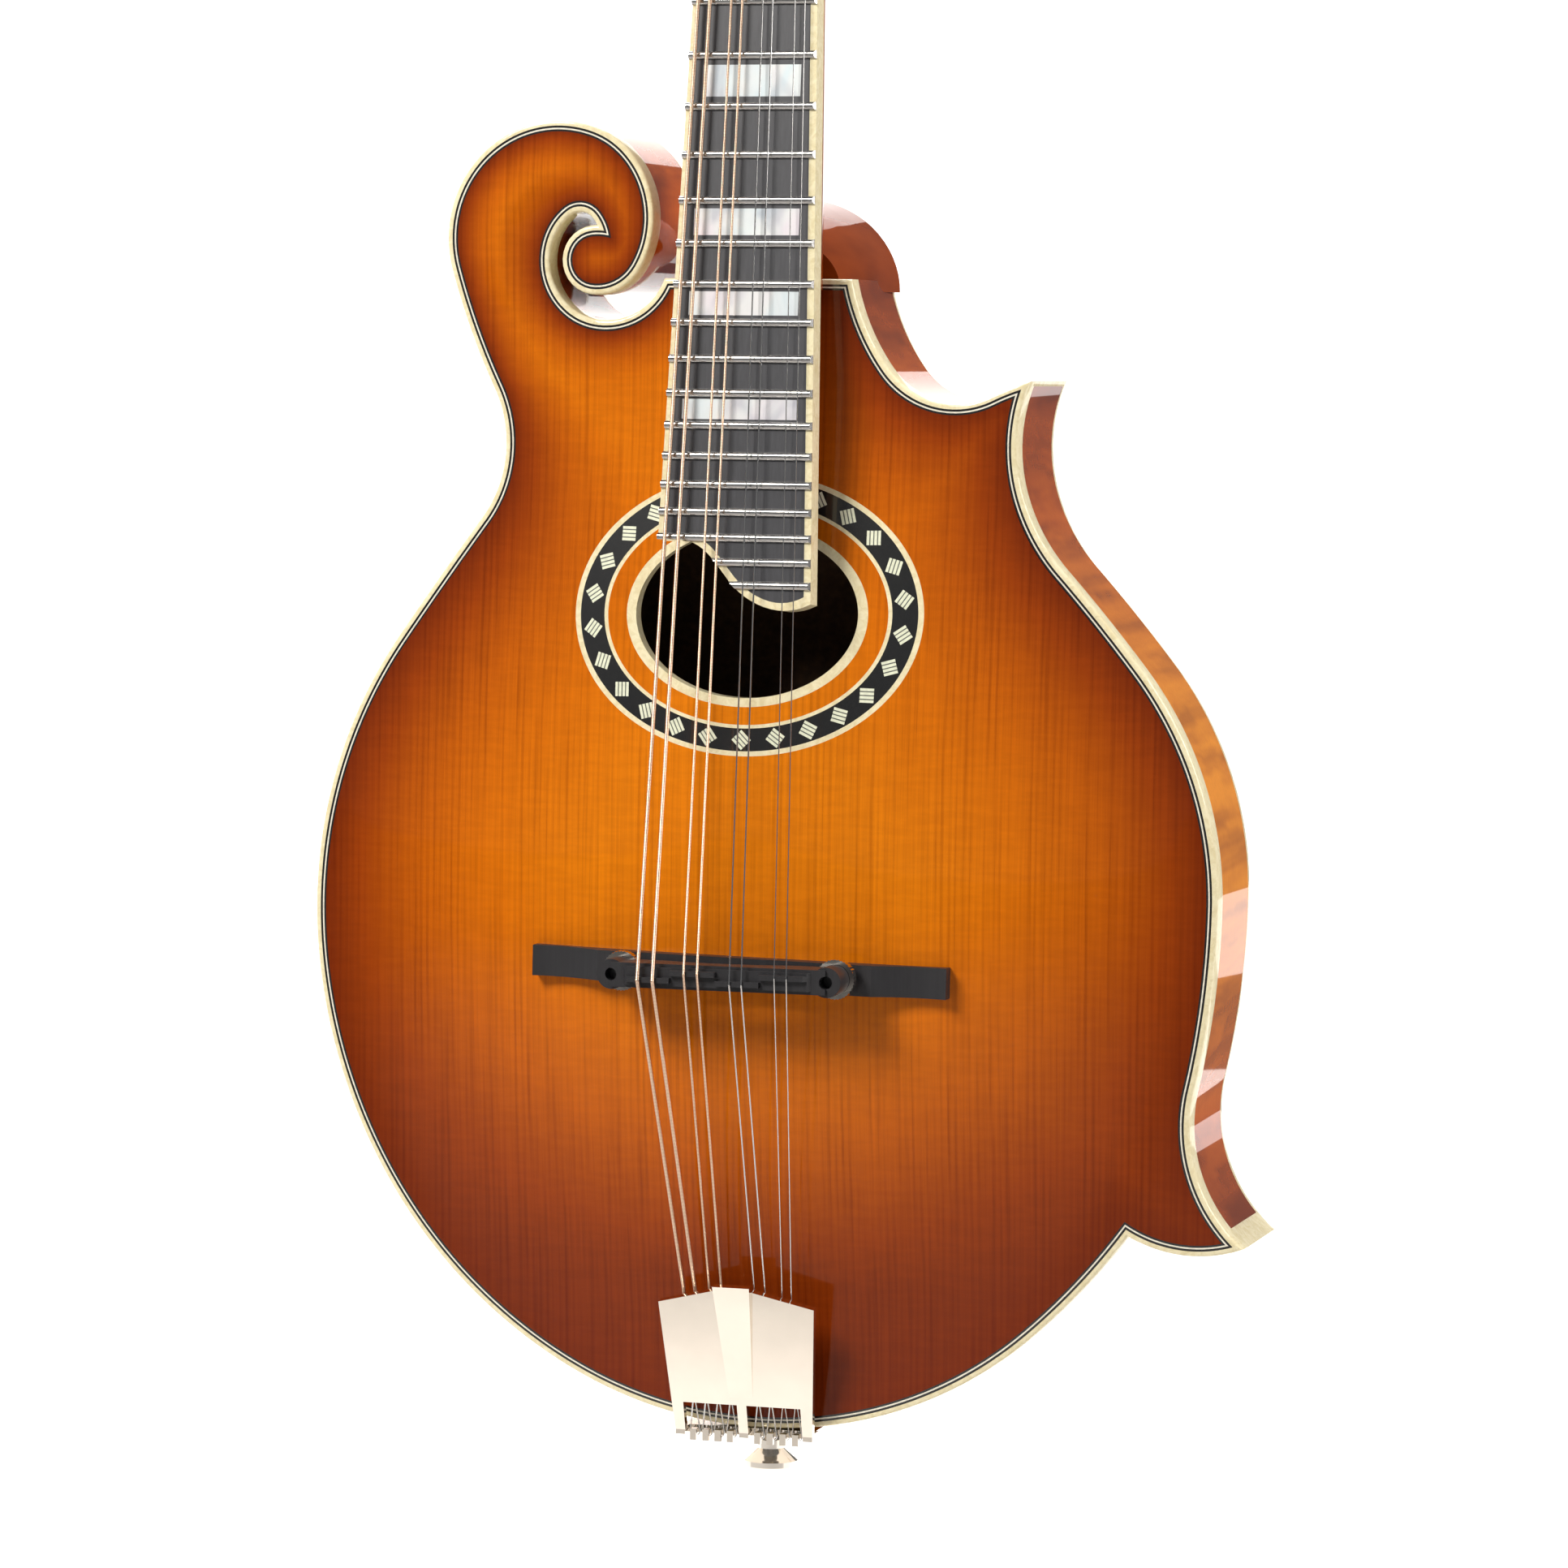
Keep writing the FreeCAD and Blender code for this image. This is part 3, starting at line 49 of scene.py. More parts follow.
# Sizes shared with the CAD model, in millimetres.
FRONT = -16.0
BACK = FRONT + 39.3
FRONT_RISE, BACK_RISE = 11.0, 12.0
PLATE = 4.0
ARCH_CENTRE, ARCH_HALF_WIDTH, ARCH_HALF_LENGTH, ARCH_FULLNESS = -333.0, 117.0, 137.0, 1.6
PURFLING, BINDING = 1.5, 1.4
EDGE = PURFLING + BINDING
BINDING_HEIGHT, BACK_BINDING_HEIGHT = 6.0, 3.0
HOLE_LEVEL = -261.0
NECK_ANGLE, HEAD_ANGLE = math.radians(5.65), math.radians(14.0)
NUT_PLACE = Vector((0, -10.17, -0.86))


# Body outline, as in the CAD model --------------------------------------------------------

UPPER_TIP, LOWER_TIP, VALLEY = (68.4, -204.8), (126.3, -419.2), (100.8, -414.9)
HOOK_TIP, BASS_JOINT, TREBLE_JOINT = (-40.0, -164.3), (-23.5, -177.5), (23.0, -177.5)
RUNS = [
    (TREBLE_JOINT, UPPER_TIP, [(58.9, 23.1), (25.0, 79.8), (51.0, -5.4)]),
    (UPPER_TIP, LOWER_TIP, [(46.2, 31.6), (52.0, 26.3), (439.4, -4.2), (93.1, -39.2),
                            (225.6, -11.7), (43.2, 56.1)]),
    (LOWER_TIP, VALLEY, [(33.0, -45.8)]),
    (VALLEY, HOOK_TIP, [(180.7, -12.6), (105.4, -35.6), (111.0, -33.6), (128.4, -29.9),
                        (137.0, -27.4), (122.5, -40.6), (1247.8, -1.8), (35.1, 63.3),
                        (178.9, -10.5), (27.6, -125.0), (20.1, -27.3), (22.9, -74.5),
                        (10.7, -67.7), (6.1, -164.7), (13.4, -22.3)]),
    (HOOK_TIP, BASS_JOINT, [(13.6, 32.7), (7.3, 87.3), (16.4, 27.0), (18.6, 73.8),
                            (18.0, 33.5), (20.1, 72.5)]),
    (BASS_JOINT, TREBLE_JOINT, [(4000.0, -0.67)]),
]
SAMPLE_STEP = 1.2


def unit(angle):
    return complex(math.cos(angle), math.sin(angle))


def arc_chain(start, end, bends):
    """Tangent arcs fitted between two corners, as (centre, radius, side, from, to)."""
    point, heading = complex(0, 0), 0.0
    stations = []
    for radius, turn in bends:
        side = math.copysign(1.0, turn)
        centre = point + radius * side * complex(-math.sin(heading), math.cos(heading))
        leave = heading - side * math.pi / 2
        stations.append((centre, radius, side, leave, leave + math.radians(turn)))
        point = centre + radius * unit(leave + math.radians(turn))
        heading += math.radians(turn)
    first, last = complex(*start), complex(*end)
    fit = (last - first) / point
    swing = math.atan2(fit.imag, fit.real)
    return [(first + fit * centre, radius * abs(fit), side, a + swing, b + swing)
            for centre, radius, side, a, b in stations]


CHAINS = [arc_chain(*run) for run in RUNS]


def crossing(first, second, near):
    gap = second[0] - first[0]
    along = (abs(gap) ** 2 + first[1] ** 2 - second[1] ** 2) / (2 * abs(gap))
    rise = math.sqrt(max(first[1] ** 2 - along ** 2, 0.0))
    step = gap / abs(gap)
    return min((first[0] + step * complex(along, s * rise) for s in (-1, 1)),
               key=lambda p: abs(p - near))


def outline_points(offset):
    """Points round the body, always the same number whatever the offset."""
    chains = [[[c, r - side * offset, side, a, b] for c, r, side, a, b in chain]
              for chain in CHAINS]
    for before, after in zip(chains, chains[1:] + chains[:1]):
        last, first = before[-1], after[0]
        corner = crossing(last, first, last[0] + last[1] * unit(last[4]))
        for arc, which in ((last, 4), (first, 3)):
            wanted = math.atan2((corner - arc[0]).imag, (corner - arc[0]).real)
            arc[which] += math.remainder(wanted - arc[which], 2 * math.pi)
    points = []
    for chain, base in zip(chains, CHAINS):
        for arc, plain in zip(chain, base):
            length = abs(plain[4] - plain[3]) * plain[1]
            count = max(4, int(length / SAMPLE_STEP)) if plain[1] < 3000 else 40
            for k in range(count):
                angle = arc[3] + (arc[4] - arc[3]) * k / count
                p = arc[0] + arc[1] * unit(angle)
                points.append((p.real, p.imag))
    return points


WOOD_EDGE = outline_points(0)
EDGE_TREE = kdtree.KDTree(len(WOOD_EDGE))
for index, (x, z) in enumerate(WOOD_EDGE):
    EDGE_TREE.insert((x, z, 0), index)
EDGE_TREE.balance()


def edge_distance(x, z):
    return EDGE_TREE.find((x, z, 0))[2]


# Mesh helpers -----------------------------------------------------------------------------

def new_mesh(name, points, faces, smooth=True, sharp=40.0):
    """A piece from points in millimetres."""
    mesh = bpy.data.meshes.new(name)
    mesh.from_pydata([(x * MM, y * MM, z * MM) for x, y, z in points], [], faces)
    mesh.validate()
    mesh.update()
    if smooth:
        mesh.polygons.foreach_set("use_smooth", [True] * len(mesh.polygons))
        mesh.set_sharp_from_angle(angle=math.radians(sharp))
    piece = bpy.data.objects.new(name, mesh)
    bpy.context.scene.collection.objects.link(piece)
    return piece


def set_attribute(piece, name, values):
    layer = piece.data.attributes.new(name, "FLOAT", "POINT")
    layer.data.foreach_set("value", np.asarray(values, np.float32))


def outline_band(name, profile, keep=None, closed=True):
    """Sweep a profile of (offset, depth) round the outline; keep limits it to a stretch."""
    rings = [outline_points(offset) for offset, _ in profile]
    count = len(rings[0])
    chosen = [k for k in range(count) if keep is None or keep(*WOOD_EDGE[k])]
    looped = keep is None
    points = [(rings[j][k][0], profile[j][1], rings[j][k][1])
              for k in chosen for j in range(len(profile))]
    n, faces = len(profile), []
    spans = len(chosen) if looped else len(chosen) - 1
    for k in range(spans):
        if not looped and chosen[k + 1] != chosen[k] + 1:
            continue
        here, there = k * n, ((k + 1) % len(chosen)) * n
        for j in range(n if closed else n - 1):
            i = (j + 1) % n
            faces.append((here + j, here + i, there + i, there + j))
    if not looped and closed:
        starts = [0] + [k + 1 for k in range(len(chosen) - 1) if chosen[k + 1] != chosen[k] + 1]
        stops = [s - 1 for s in starts[1:]] + [len(chosen) - 1]
        for s, e in zip(starts, stops):
            faces.append(tuple(s * n + j for j in range(n))[::-1])
            faces.append(tuple(e * n + j for j in range(n)))
    piece = new_mesh(name, points, faces)
    lengths = np.cumsum([0.0] + [math.dist(WOOD_EDGE[chosen[k]], WOOD_EDGE[chosen[k + 1]])
                                 for k in range(len(chosen) - 1)])
    set_attribute(piece, "along", np.repeat(lengths, n))
    return piece


def replace(piece, body, *nodes):
    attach(piece, body)
    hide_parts(*nodes)
    return piece


# Materials --------------------------------------------------------------------------------

class Shader:
    """A small builder round a Principled material."""

    def __init__(self, name, **sockets):
        self.material = bpy.data.materials.new(name)
        self.material.use_nodes = True
        self.tree = self.material.node_tree
        self.bsdf = next(n for n in self.tree.nodes if n.type == "BSDF_PRINCIPLED")
        for socket, value in sockets.items():
            self.bsdf.inputs[socket.replace("_", " ")].default_value = value

    def node(self, kind, **settings):
        made = self.tree.nodes.new(kind)
        for key, value in settings.items():
            if hasattr(made, key):
                setattr(made, key, value)
            else:
                made.inputs[key.replace("_", " ")].default_value = value
        return made

    def link(self, out, into):
        self.tree.links.new(out, into)

    def coords(self, scale=(1, 1, 1), turn=(0, 0, 0)):
        """Position on the object in millimetres, scaled."""
        place = self.node("ShaderNodeTexCoord")
        mapping = self.node("ShaderNodeMapping")
        mapping.inputs["Scale"].default_value = [1000 * s for s in scale]
        mapping.inputs["Rotation"].default_value = turn
        self.link(place.outputs["Object"], mapping.inputs["Vector"])
        return mapping.outputs["Vector"]

    def noise(self, vector, scale=1.0, detail=3.0, roughness=0.5, distortion=0.0):
        made = self.node("ShaderNodeTexNoise")
        for key, value in (("Scale", scale), ("Detail", detail), ("Roughness", roughness),
                           ("Distortion", distortion)):
            made.inputs[key].default_value = value
        self.link(vector, made.inputs["Vector"])
        return made.outputs["Fac"]

    def ramp(self, factor, stops):
        made = self.node("ShaderNodeValToRGB")
        elements = made.color_ramp.elements
        while len(elements) < len(stops):
            elements.new(0.5)
        for element, (place, colour) in zip(elements, stops):
            element.position = place
            element.color = (*colour, 1) if len(colour) == 3 else colour
        self.link(factor, made.inputs["Fac"])
        return made.outputs["Color"]

    def mix(self, factor, a, b, blend="MIX"):
        made = self.node("ShaderNodeMix")
        made.data_type, made.blend_type = "RGBA", blend
        for source, socket in ((factor, 0), (a, 6), (b, 7)):
            if hasattr(source, "is_linked"):
                self.link(source, made.inputs[socket])
            elif isinstance(source, (int, float)):
                made.inputs[socket].default_value = source
            else:
                made.inputs[socket].default_value = (*source, 1)
        return made.outputs[2]

    def math(self, operation, a, b=0.0, clamp=False):
        made = self.node("ShaderNodeMath")
        made.operation, made.use_clamp = operation, clamp
        for source, socket in ((a, 0), (b, 1)):
            if hasattr(source, "is_linked"):
                self.link(source, made.inputs[socket])
            else:
                made.inputs[socket].default_value = source
        return made.outputs[0]

    def attribute(self, name):
        made = self.node("ShaderNodeAttribute")
        made.attribute_name = name
        return made.outputs["Fac"]

    def colour(self, output):
        self.link(output, self.bsdf.inputs["Base Color"])

    def bump(self, height, strength, distance):
        made = self.node("ShaderNodeBump")
        made.inputs["Strength"].default_value = strength
        made.inputs["Distance"].default_value = distance
        self.link(height, made.inputs["Height"])
        self.link(made.outputs["Normal"], self.bsdf.inputs["Normal"])


LACQUER = dict(Specular_IOR_Level=0.0, Coat_Weight=1.0, Coat_Roughness=0.03, Coat_IOR=1.5)


def spruce():
    """Straight vertical grain under amber lacquer that darkens towards the edge, and painted shade
    that darkens it towards the tail.
    """
    s = Shader("top_spruce", Roughness=0.38, **LACQUER)
    s.bsdf.inputs["Coat IOR"].default_value = 1.36
    s.bsdf.inputs["Coat Weight"].default_value = 0.75
    burst_and_shade = s.attribute("burst_and_shade")
    base = s.ramp(burst_and_shade, [(0.0, (0.17, 0.022, 0.003)), (0.12, (0.29, 0.045, 0.003)),
                          (0.34, (0.47, 0.096, 0.003)), (0.62, (0.60, 0.142, 0.003)),
                          (1.0, (0.69, 0.188, 0.004))])
    rings = s.node("ShaderNodeTexWave", Scale=1.0, Distortion=1.6, Detail=2.0)
    s.link(s.coords((0.17, 0.05, 0.004)), rings.inputs["Vector"])
    streaks = s.noise(s.coords((0.85, 0.2, 0.012)), 1.0, 4.0, 0.62)
    lines = s.math("MULTIPLY_ADD", rings.outputs["Fac"], 0.15)
    s.link(s.math("MULTIPLY", streaks, 0.85), lines.node.inputs[2])
    fine = s.noise(s.coords((3.2, 0.2, 0.03)), 1.0, 2.0, 0.5)
    silk = s.noise(s.coords((0.10, 0.1, 0.55)), 1.0, 3.0, 0.6)
    grain = s.ramp(lines, [(0.28, (0.66, 0.60, 0.55)), (0.47, (0.95, 0.93, 0.92)),
                           (0.64, (1.06, 1.06, 1.0))])
    tone = s.mix(0.75, base, grain, "MULTIPLY")
    tone = s.mix(0.16, tone, s.ramp(fine, [(0.35, (0.62, 0.55, 0.5)), (0.6, (1.1, 1.1, 1.1))]),
                 "MULTIPLY")
    tone = s.mix(0.22, tone, s.ramp(silk, [(0.4, (0.80, 0.76, 0.7)), (0.62, (1.12, 1.12, 1.1))]),
                 "MULTIPLY")
    s.colour(tone)
    s.bump(lines, 0.06, 0.0003)
    return s.material


def maple(name, stops, flame, strength, factor="burst_and_shade", seed_shift=0.0):
    """Flamed maple: stripes across the grain under amber lacquer."""
    s = Shader(name, Roughness=0.36, **LACQUER)
    base = s.ramp(s.attribute(factor), stops)
    warp = s.noise(s.coords((0.03, 0.03, 0.03)), 1.0, 2.0)
    vector = s.coords(flame)
    shifted = s.node("ShaderNodeVectorMath", operation="ADD")
    s.link(vector, shifted.inputs[0])
    push = s.node("ShaderNodeCombineXYZ")
    for axis in range(3):
        s.link(s.math("MULTIPLY", warp, 1.6 + seed_shift), push.inputs[axis])
    s.link(push.outputs[0], shifted.inputs[1])
    stripes = s.noise(shifted.outputs[0], 1.0, 2.0, 0.55)
    bands = s.ramp(stripes, [(0.34, (0.55, 0.46, 0.40)), (0.50, (0.94, 0.90, 0.86)),
                             (0.66, (1.16, 1.2, 1.2))])
    tone = s.mix(strength, base, bands, "MULTIPLY")
    pores = s.noise(s.coords((1.9, 1.9, 0.06)), 1.0, 3.0, 0.6)
    tone = s.mix(0.18, tone, s.ramp(pores, [(0.38, (0.6, 0.55, 0.5)), (0.6, (1.05, 1.05, 1.05))]),
                 "MULTIPLY")
    s.colour(tone)
    return s.material


def ivoroid(name="ivoroid", tint=(0.84, 0.76, 0.52)):
    """Grained cream celluloid."""
    s = Shader(name, Roughness=0.28, **LACQUER)
    s.bsdf.inputs["Subsurface Weight"].default_value = 0.08
    s.bsdf.inputs["Subsurface Radius"].default_value = (0.002, 0.0015, 0.001)
    streaks = s.noise(s.coords((0.35, 0.35, 0.35)), 1.0, 5.0, 0.65, 1.4)
    dark = tuple(c * k for c, k in zip(tint, (0.86, 0.82, 0.72)))
    s.colour(s.ramp(streaks, [(0.35, dark), (0.6, tint)]))
    return s.material


def plain(name, colour, roughness, spread=0.12, scale=0.8, **sockets):
    """One even finish with a slight mottling and fine surface texture."""
    s = Shader(name, Roughness=roughness, **sockets)
    patch = s.noise(s.coords((scale, scale, scale)), 1.0, 4.0, 0.6)
    low = tuple(c * (1 - spread) for c in colour)
    high = tuple(min(c * (1 + spread), 1.0) for c in colour)
    s.colour(s.ramp(patch, [(0.35, low), (0.65, high)]))
    s.bump(patch, 0.03, 0.0001)
    return s.material


def ebony(name="ebony", roughness=0.42, light=(0.022, 0.021, 0.024)):
    s = Shader(name, Roughness=roughness)
    s.bsdf.inputs["Specular IOR Level"].default_value = 0.5
    streaks = s.noise(s.coords((1.3, 1.3, 0.03)), 1.0, 5.0, 0.65)
    s.colour(s.ramp(streaks, [(0.3, tuple(0.72 * c for c in light)), (0.7, light)]))
    s.bump(streaks, 0.05, 0.0001)
    return s.material


def nickel(name="nickel", roughness=0.09, colour=(0.93, 0.87, 0.79)):
    s = Shader(name, Roughness=roughness, Metallic=1.0)
    smear = s.noise(s.coords((0.12, 0.12, 0.12)), 1.0, 4.0, 0.6)
    s.colour(s.ramp(smear, [(0.3, tuple(c * 0.94 for c in colour)), (0.7, colour)]))
    rough = s.math("MULTIPLY_ADD", smear, 0.08)
    rough.node.inputs[2].default_value = roughness - 0.04
    s.link(rough, s.bsdf.inputs["Roughness"])
    return s.material


def pearl():
    """Mother of pearl: cloudy patches with a faint shift of colour."""
    s = Shader("pearl", Roughness=0.18, Coat_Weight=0.6, Coat_Roughness=0.05)
    clouds = s.noise(s.coords((0.10, 0.10, 0.05)), 1.0, 2.5, 0.5, 0.8)
    hue = s.noise(s.coords((0.07, 0.07, 0.05)), 1.0, 2.0, 0.5, 0.6)
    tints = s.ramp(hue, [(0.3, (0.80, 0.90, 0.92)), (0.5, (0.92, 0.92, 0.90)),
                         (0.7, (0.93, 0.84, 0.88))])
    shade = s.ramp(clouds, [(0.32, (0.66, 0.68, 0.74)), (0.48, (0.92, 0.93, 0.95)),
                            (0.7, (1.0, 1.0, 1.0))])
    s.colour(s.mix(1.0, tints, shade, "MULTIPLY"))
    s.bsdf.inputs["Metallic"].default_value = 0.15
    return s.material


def wound_wire():
    """Bronze winding: fine rings across the string."""
    s = Shader("wound_bronze", Roughness=0.30, Metallic=0.9)
    rings = s.node("ShaderNodeTexWave")
    rings.wave_type, rings.bands_direction = "BANDS", "Z"
    rings.inputs["Scale"].default_value = 1.1
    s.link(s.coords((1, 1, 1)), rings.inputs["Vector"])
    s.colour(s.ramp(rings.outputs["Fac"], [(0.1, (0.62, 0.34, 0.20)), (0.6, (1.0, 0.80, 0.62))]))
    s.bump(rings.outputs["Fac"], 0.5, 0.0001)
    return s.material


AMBER_STOPS = [(0.0, (0.12, 0.020, 0.004)), (0.2, (0.26, 0.042, 0.004)),
               (0.5, (0.48, 0.105, 0.006)), (1.0, (0.66, 0.20, 0.010))]
RIM_STOPS = [(0.0, (0.24, 0.038, 0.004)), (0.35, (0.50, 0.100, 0.006)),
             (1.0, (0.76, 0.25, 0.012))]

TOP = spruce()
BACK_MAPLE = maple("back_maple", AMBER_STOPS, (0.012, 0.05, 0.11), 0.8)
RIM_MAPLE = maple("rim_maple", RIM_STOPS, (0.13, 0.012, 0.13), 0.75)
CREAM = ivoroid()
INNER_WOOD = plain("inner_wood", (0.20, 0.11, 0.05), 0.8)
# Painted shade: the plates' inner faces are near black for the dark inside of the body, not for
# the bare wood's colour.
INSIDE_PAINTED_SHADE = plain("inside_face_painted_shade", (0.07, 0.035, 0.015), 0.9, 0.25, 0.3)
EBONY = ebony()
BOARD_EBONY = ebony("board_ebony", 0.34, (0.060, 0.060, 0.067))
BLACK = plain("black_line", (0.010, 0.010, 0.010), 0.25, Coat_Weight=1.0, Coat_Roughness=0.05)
WHITE = plain("white_line", (0.78, 0.74, 0.62), 0.3, Coat_Weight=1.0, Coat_Roughness=0.05)
NICKEL = nickel()
COVER_NICKEL = nickel("cover_nickel", 0.09, (0.87, 0.80, 0.71))
FRET_WIRE = nickel("fret_wire", 0.20, (0.46, 0.45, 0.44))
STEEL = nickel("plain_steel", 0.14, (0.74, 0.73, 0.72))
PEARL = pearl()
BONE = plain("bone", (0.80, 0.75, 0.62), 0.35)
WOUND = wound_wire()
HEAD_BLACK = plain("head_black", (0.012, 0.011, 0.012), 0.3, Coat_Weight=1.0, Coat_Roughness=0.03)
INLAY_LIGHT = plain("inlay_light", (0.78, 0.80, 0.62), 0.3, 0.08, Coat_Weight=1.0,
                    Coat_Roughness=0.05)
INLAY_DARK = plain("inlay_dark", (0.10, 0.11, 0.09), 0.3, 0.1, Coat_Weight=1.0,
                   Coat_Roughness=0.05)
POST_STEEL = plain("blackened_steel", (0.030, 0.030, 0.032), 0.35, 0.2, Metallic=0.6)


def neck_finish():
    """Dark red-brown lacquer over maple, lighter along the middle of the neck."""
    s = Shader("neck_finish", Roughness=0.36, **LACQUER)
    stripes = s.noise(s.coords((0.05, 0.05, 0.11)), 1.0, 2.0, 0.5)
    level = s.node("ShaderNodeSeparateXYZ")
    s.link(s.coords((1, 1, 1)), level.inputs[0])
    reach = s.math("ABSOLUTE", s.math("ADD", level.outputs["Z"], 75.0))
    fade = s.math("DIVIDE", reach, 120.0, clamp=True)
    base = s.ramp(fade, [(0.25, (0.42, 0.085, 0.006)), (0.8, (0.24, 0.040, 0.004))])
    bands = s.ramp(stripes, [(0.36, (0.66, 0.58, 0.52)), (0.64, (1.12, 1.12, 1.1))])
    s.colour(s.mix(0.6, base, bands, "MULTIPLY"))
    return s.material


NECK_FINISH = neck_finish()


def finish_node(name, material):
    """Give a CAD node a better material."""
    mesh = NODES[name].data
    mesh.materials.clear()
    mesh.materials.append(material)


# Carved plates ----------------------------------------------------------------------------

GRID, FINE_GRID = 2.6, 1.5
# Areas filled with points, as (step, x from, x to, z from, z to): finer at the scroll.
GRID_AREAS = ((GRID, -124, 130, -474, -206), (GRID, -14, 130, -206, -134),
              (FINE_GRID, -124, -14, -206, -134))
ROW_HEIGHT = 0.866           # of a grid of equal triangles, in steps
OVAL_CLEARANCE = 0.035       # no grid point this close to an oval, as a part of its size
RIDGE_CENTRE = (-52.0, -166.0)
RIDGE_RADIUS, RIDGE_WIDTH, RIDGE_HEIGHT = 19.5, 5.5, 1.3
RIDGE_DIRECTION = math.radians(150)


def arch_height(x, z, rise):
    reach = math.hypot(x / ARCH_HALF_WIDTH, (z - ARCH_CENTRE) / ARCH_HALF_LENGTH)
    if reach >= 1:
        return 0.0
    return rise * (1 + math.cos(math.pi * reach ** ARCH_FULLNESS)) / 2


def scroll_ridge(x, z):
    """The rounded ridge carved along the scroll."""
    dx, dz = x - RIDGE_CENTRE[0], z - RIDGE_CENTRE[1]
    facing = max(0.0, math.cos(math.atan2(dz, dx) - RIDGE_DIRECTION))
    off = (math.hypot(dx, dz) - RIDGE_RADIUS) / RIDGE_WIDTH
    return RIDGE_HEIGHT * facing * math.exp(-off * off)


BURST_WIDTH, SCROLL_BURST_WIDTH, TAIL_BURST_AND_SHADE_WIDTH = 75.0, 20.0, 87.0
SCROLL_BURST_START, SCROLL_BURST_FADE = -250.0, 50.0
# Darkening across the whole plate towards the tail: painted shade, over the real burst at the
# edge.
TAIL_SHADE_START, TAIL_SHADE_FADE, TAIL_SHADE_FLOOR = -325.0, 130.0, 0.15


def burst_and_shade_value(x, z):
    """0 at the dark edge, 1 in the light middle: narrow at the scroll, and darker towards the tail
    as painted shade.
    """
    to_scroll = max(0.0, min(1.0, (z - SCROLL_BURST_START) / SCROLL_BURST_FADE))
    to_scroll *= 1.0 if x < 0 else 0.5
    tail_shade = max(0.0, (TAIL_SHADE_START - z) / TAIL_SHADE_FADE)
    width = BURST_WIDTH + (SCROLL_BURST_WIDTH - BURST_WIDTH) * to_scroll \
        + (TAIL_BURST_AND_SHADE_WIDTH - BURST_WIDTH) * min(tail_shade, 1.0)
    return min(1.0, edge_distance(x, z) / width) * max(TAIL_SHADE_FLOOR, 1.0 - tail_shade)


def oval_reach(x, z, oval):
    return math.hypot(x / oval[0], (z - HOLE_LEVEL) / oval[1])


def oval_points(oval, count=220):
    return [Vector((oval[0] * math.cos(2 * math.pi * k / count),
                    HOLE_LEVEL + oval[1] * math.sin(2 * math.pi * k / count)))
            for k in range(count)]


def border(faces):
    """Edges of a set of faces that only one of them uses."""
    used = {(a, b) for face in faces for a, b in zip(face, face[1:] + face[:1])}
    return [(a, b) for a, b in used if (b, a) not in used]


def carved_plate(name, plane, rise, side, edge_offset, hole=None, channel=None):
    """A closed carved plate over the body's plan, with an oval hole and an inlay channel."""
    rim = outline_points(edge_offset)
    points = [Vector(p) for p in rim]
    edges = [(k, (k + 1) % len(rim)) for k in range(len(rim))]
    ovals = ([hole] if hole else []) + (list(channel) if channel else [])
    for oval in ovals:
        start, ring = len(points), oval_points(oval)
        points += ring
        edges += [(start + k, start + (k + 1) % len(ring)) for k in range(len(ring))]
    for step, x0, x1, z0, z1 in GRID_AREAS:
        for row in range(int((z1 - z0) / (step * ROW_HEIGHT))):
            z = z0 + row * step * ROW_HEIGHT
            for column in range(int((x1 - x0) / step)):
                x = x0 + (column + (row % 2) / 2) * step
                clear = all(not 1 - OVAL_CLEARANCE < oval_reach(x, z, oval) < 1 + OVAL_CLEARANCE
                            for oval in ovals)
                if clear and edge_distance(x, z) > 0.75 * step:
                    points.append(Vector((x, z)))
    out = delaunay_2d_cdt(points, edges, [tuple(range(len(rim)))], 1, 1e-5)
    flat = out[0]
    faces, sunk = [], []
    for face in out[2]:
        cx, cz = (sum(flat[k][axis] for k in face) / len(face) for axis in (0, 1))
        if hole and oval_reach(cx, cz, hole) < 0.999:
            continue
        in_channel = channel and oval_reach(cx, cz, channel[0]) > 0.999 \
            and oval_reach(cx, cz, channel[1]) < 1.001
        (sunk if in_channel else faces).append(tuple(face))
    layers = [[], [], []]
    for p in flat:
        lift = arch_height(p.x, p.y, rise)
        ridge = scroll_ridge(p.x, p.y) if side < 0 else 0.0
        for layer, level in zip(layers, (lift + ridge, lift - PLATE, lift - INLAY_DEPTH)):
            layer.append((p.x, plane + side * level, p.y))
    n = len(flat)
    shell = list(faces)
    shell += [tuple(k + n for k in reversed(f)) for f in faces + sunk]
    shell += [tuple(k + 2 * n for k in f) for f in sunk]
    outer_edges = set(border(faces + sunk))
    shell += [(a, a + n, b + n, b) for a, b in outer_edges]
    shell += [(a, a + 2 * n, b + 2 * n, b) for a, b in border(faces) if (a, b) not in outer_edges]
    if side > 0:
        shell = [tuple(reversed(f)) for f in shell]
    piece = new_mesh(name, layers[0] + layers[1] + layers[2], shell, sharp=50.0)
    # The inner faces take the second material, the near-black painted shade of the body's inside.
    inside = [1 if all(n <= k < 2 * n for k in f.vertices) else 0 for f in piece.data.polygons]
    piece.data.polygons.foreach_set("material_index", inside)
    set_attribute(piece, "burst_and_shade", [burst_and_shade_value(p.x, p.y) for p in flat] * 3)
    return piece


HOLE_HALF_WIDTH, HOLE_HALF_HEIGHT = 30.0, 21.6


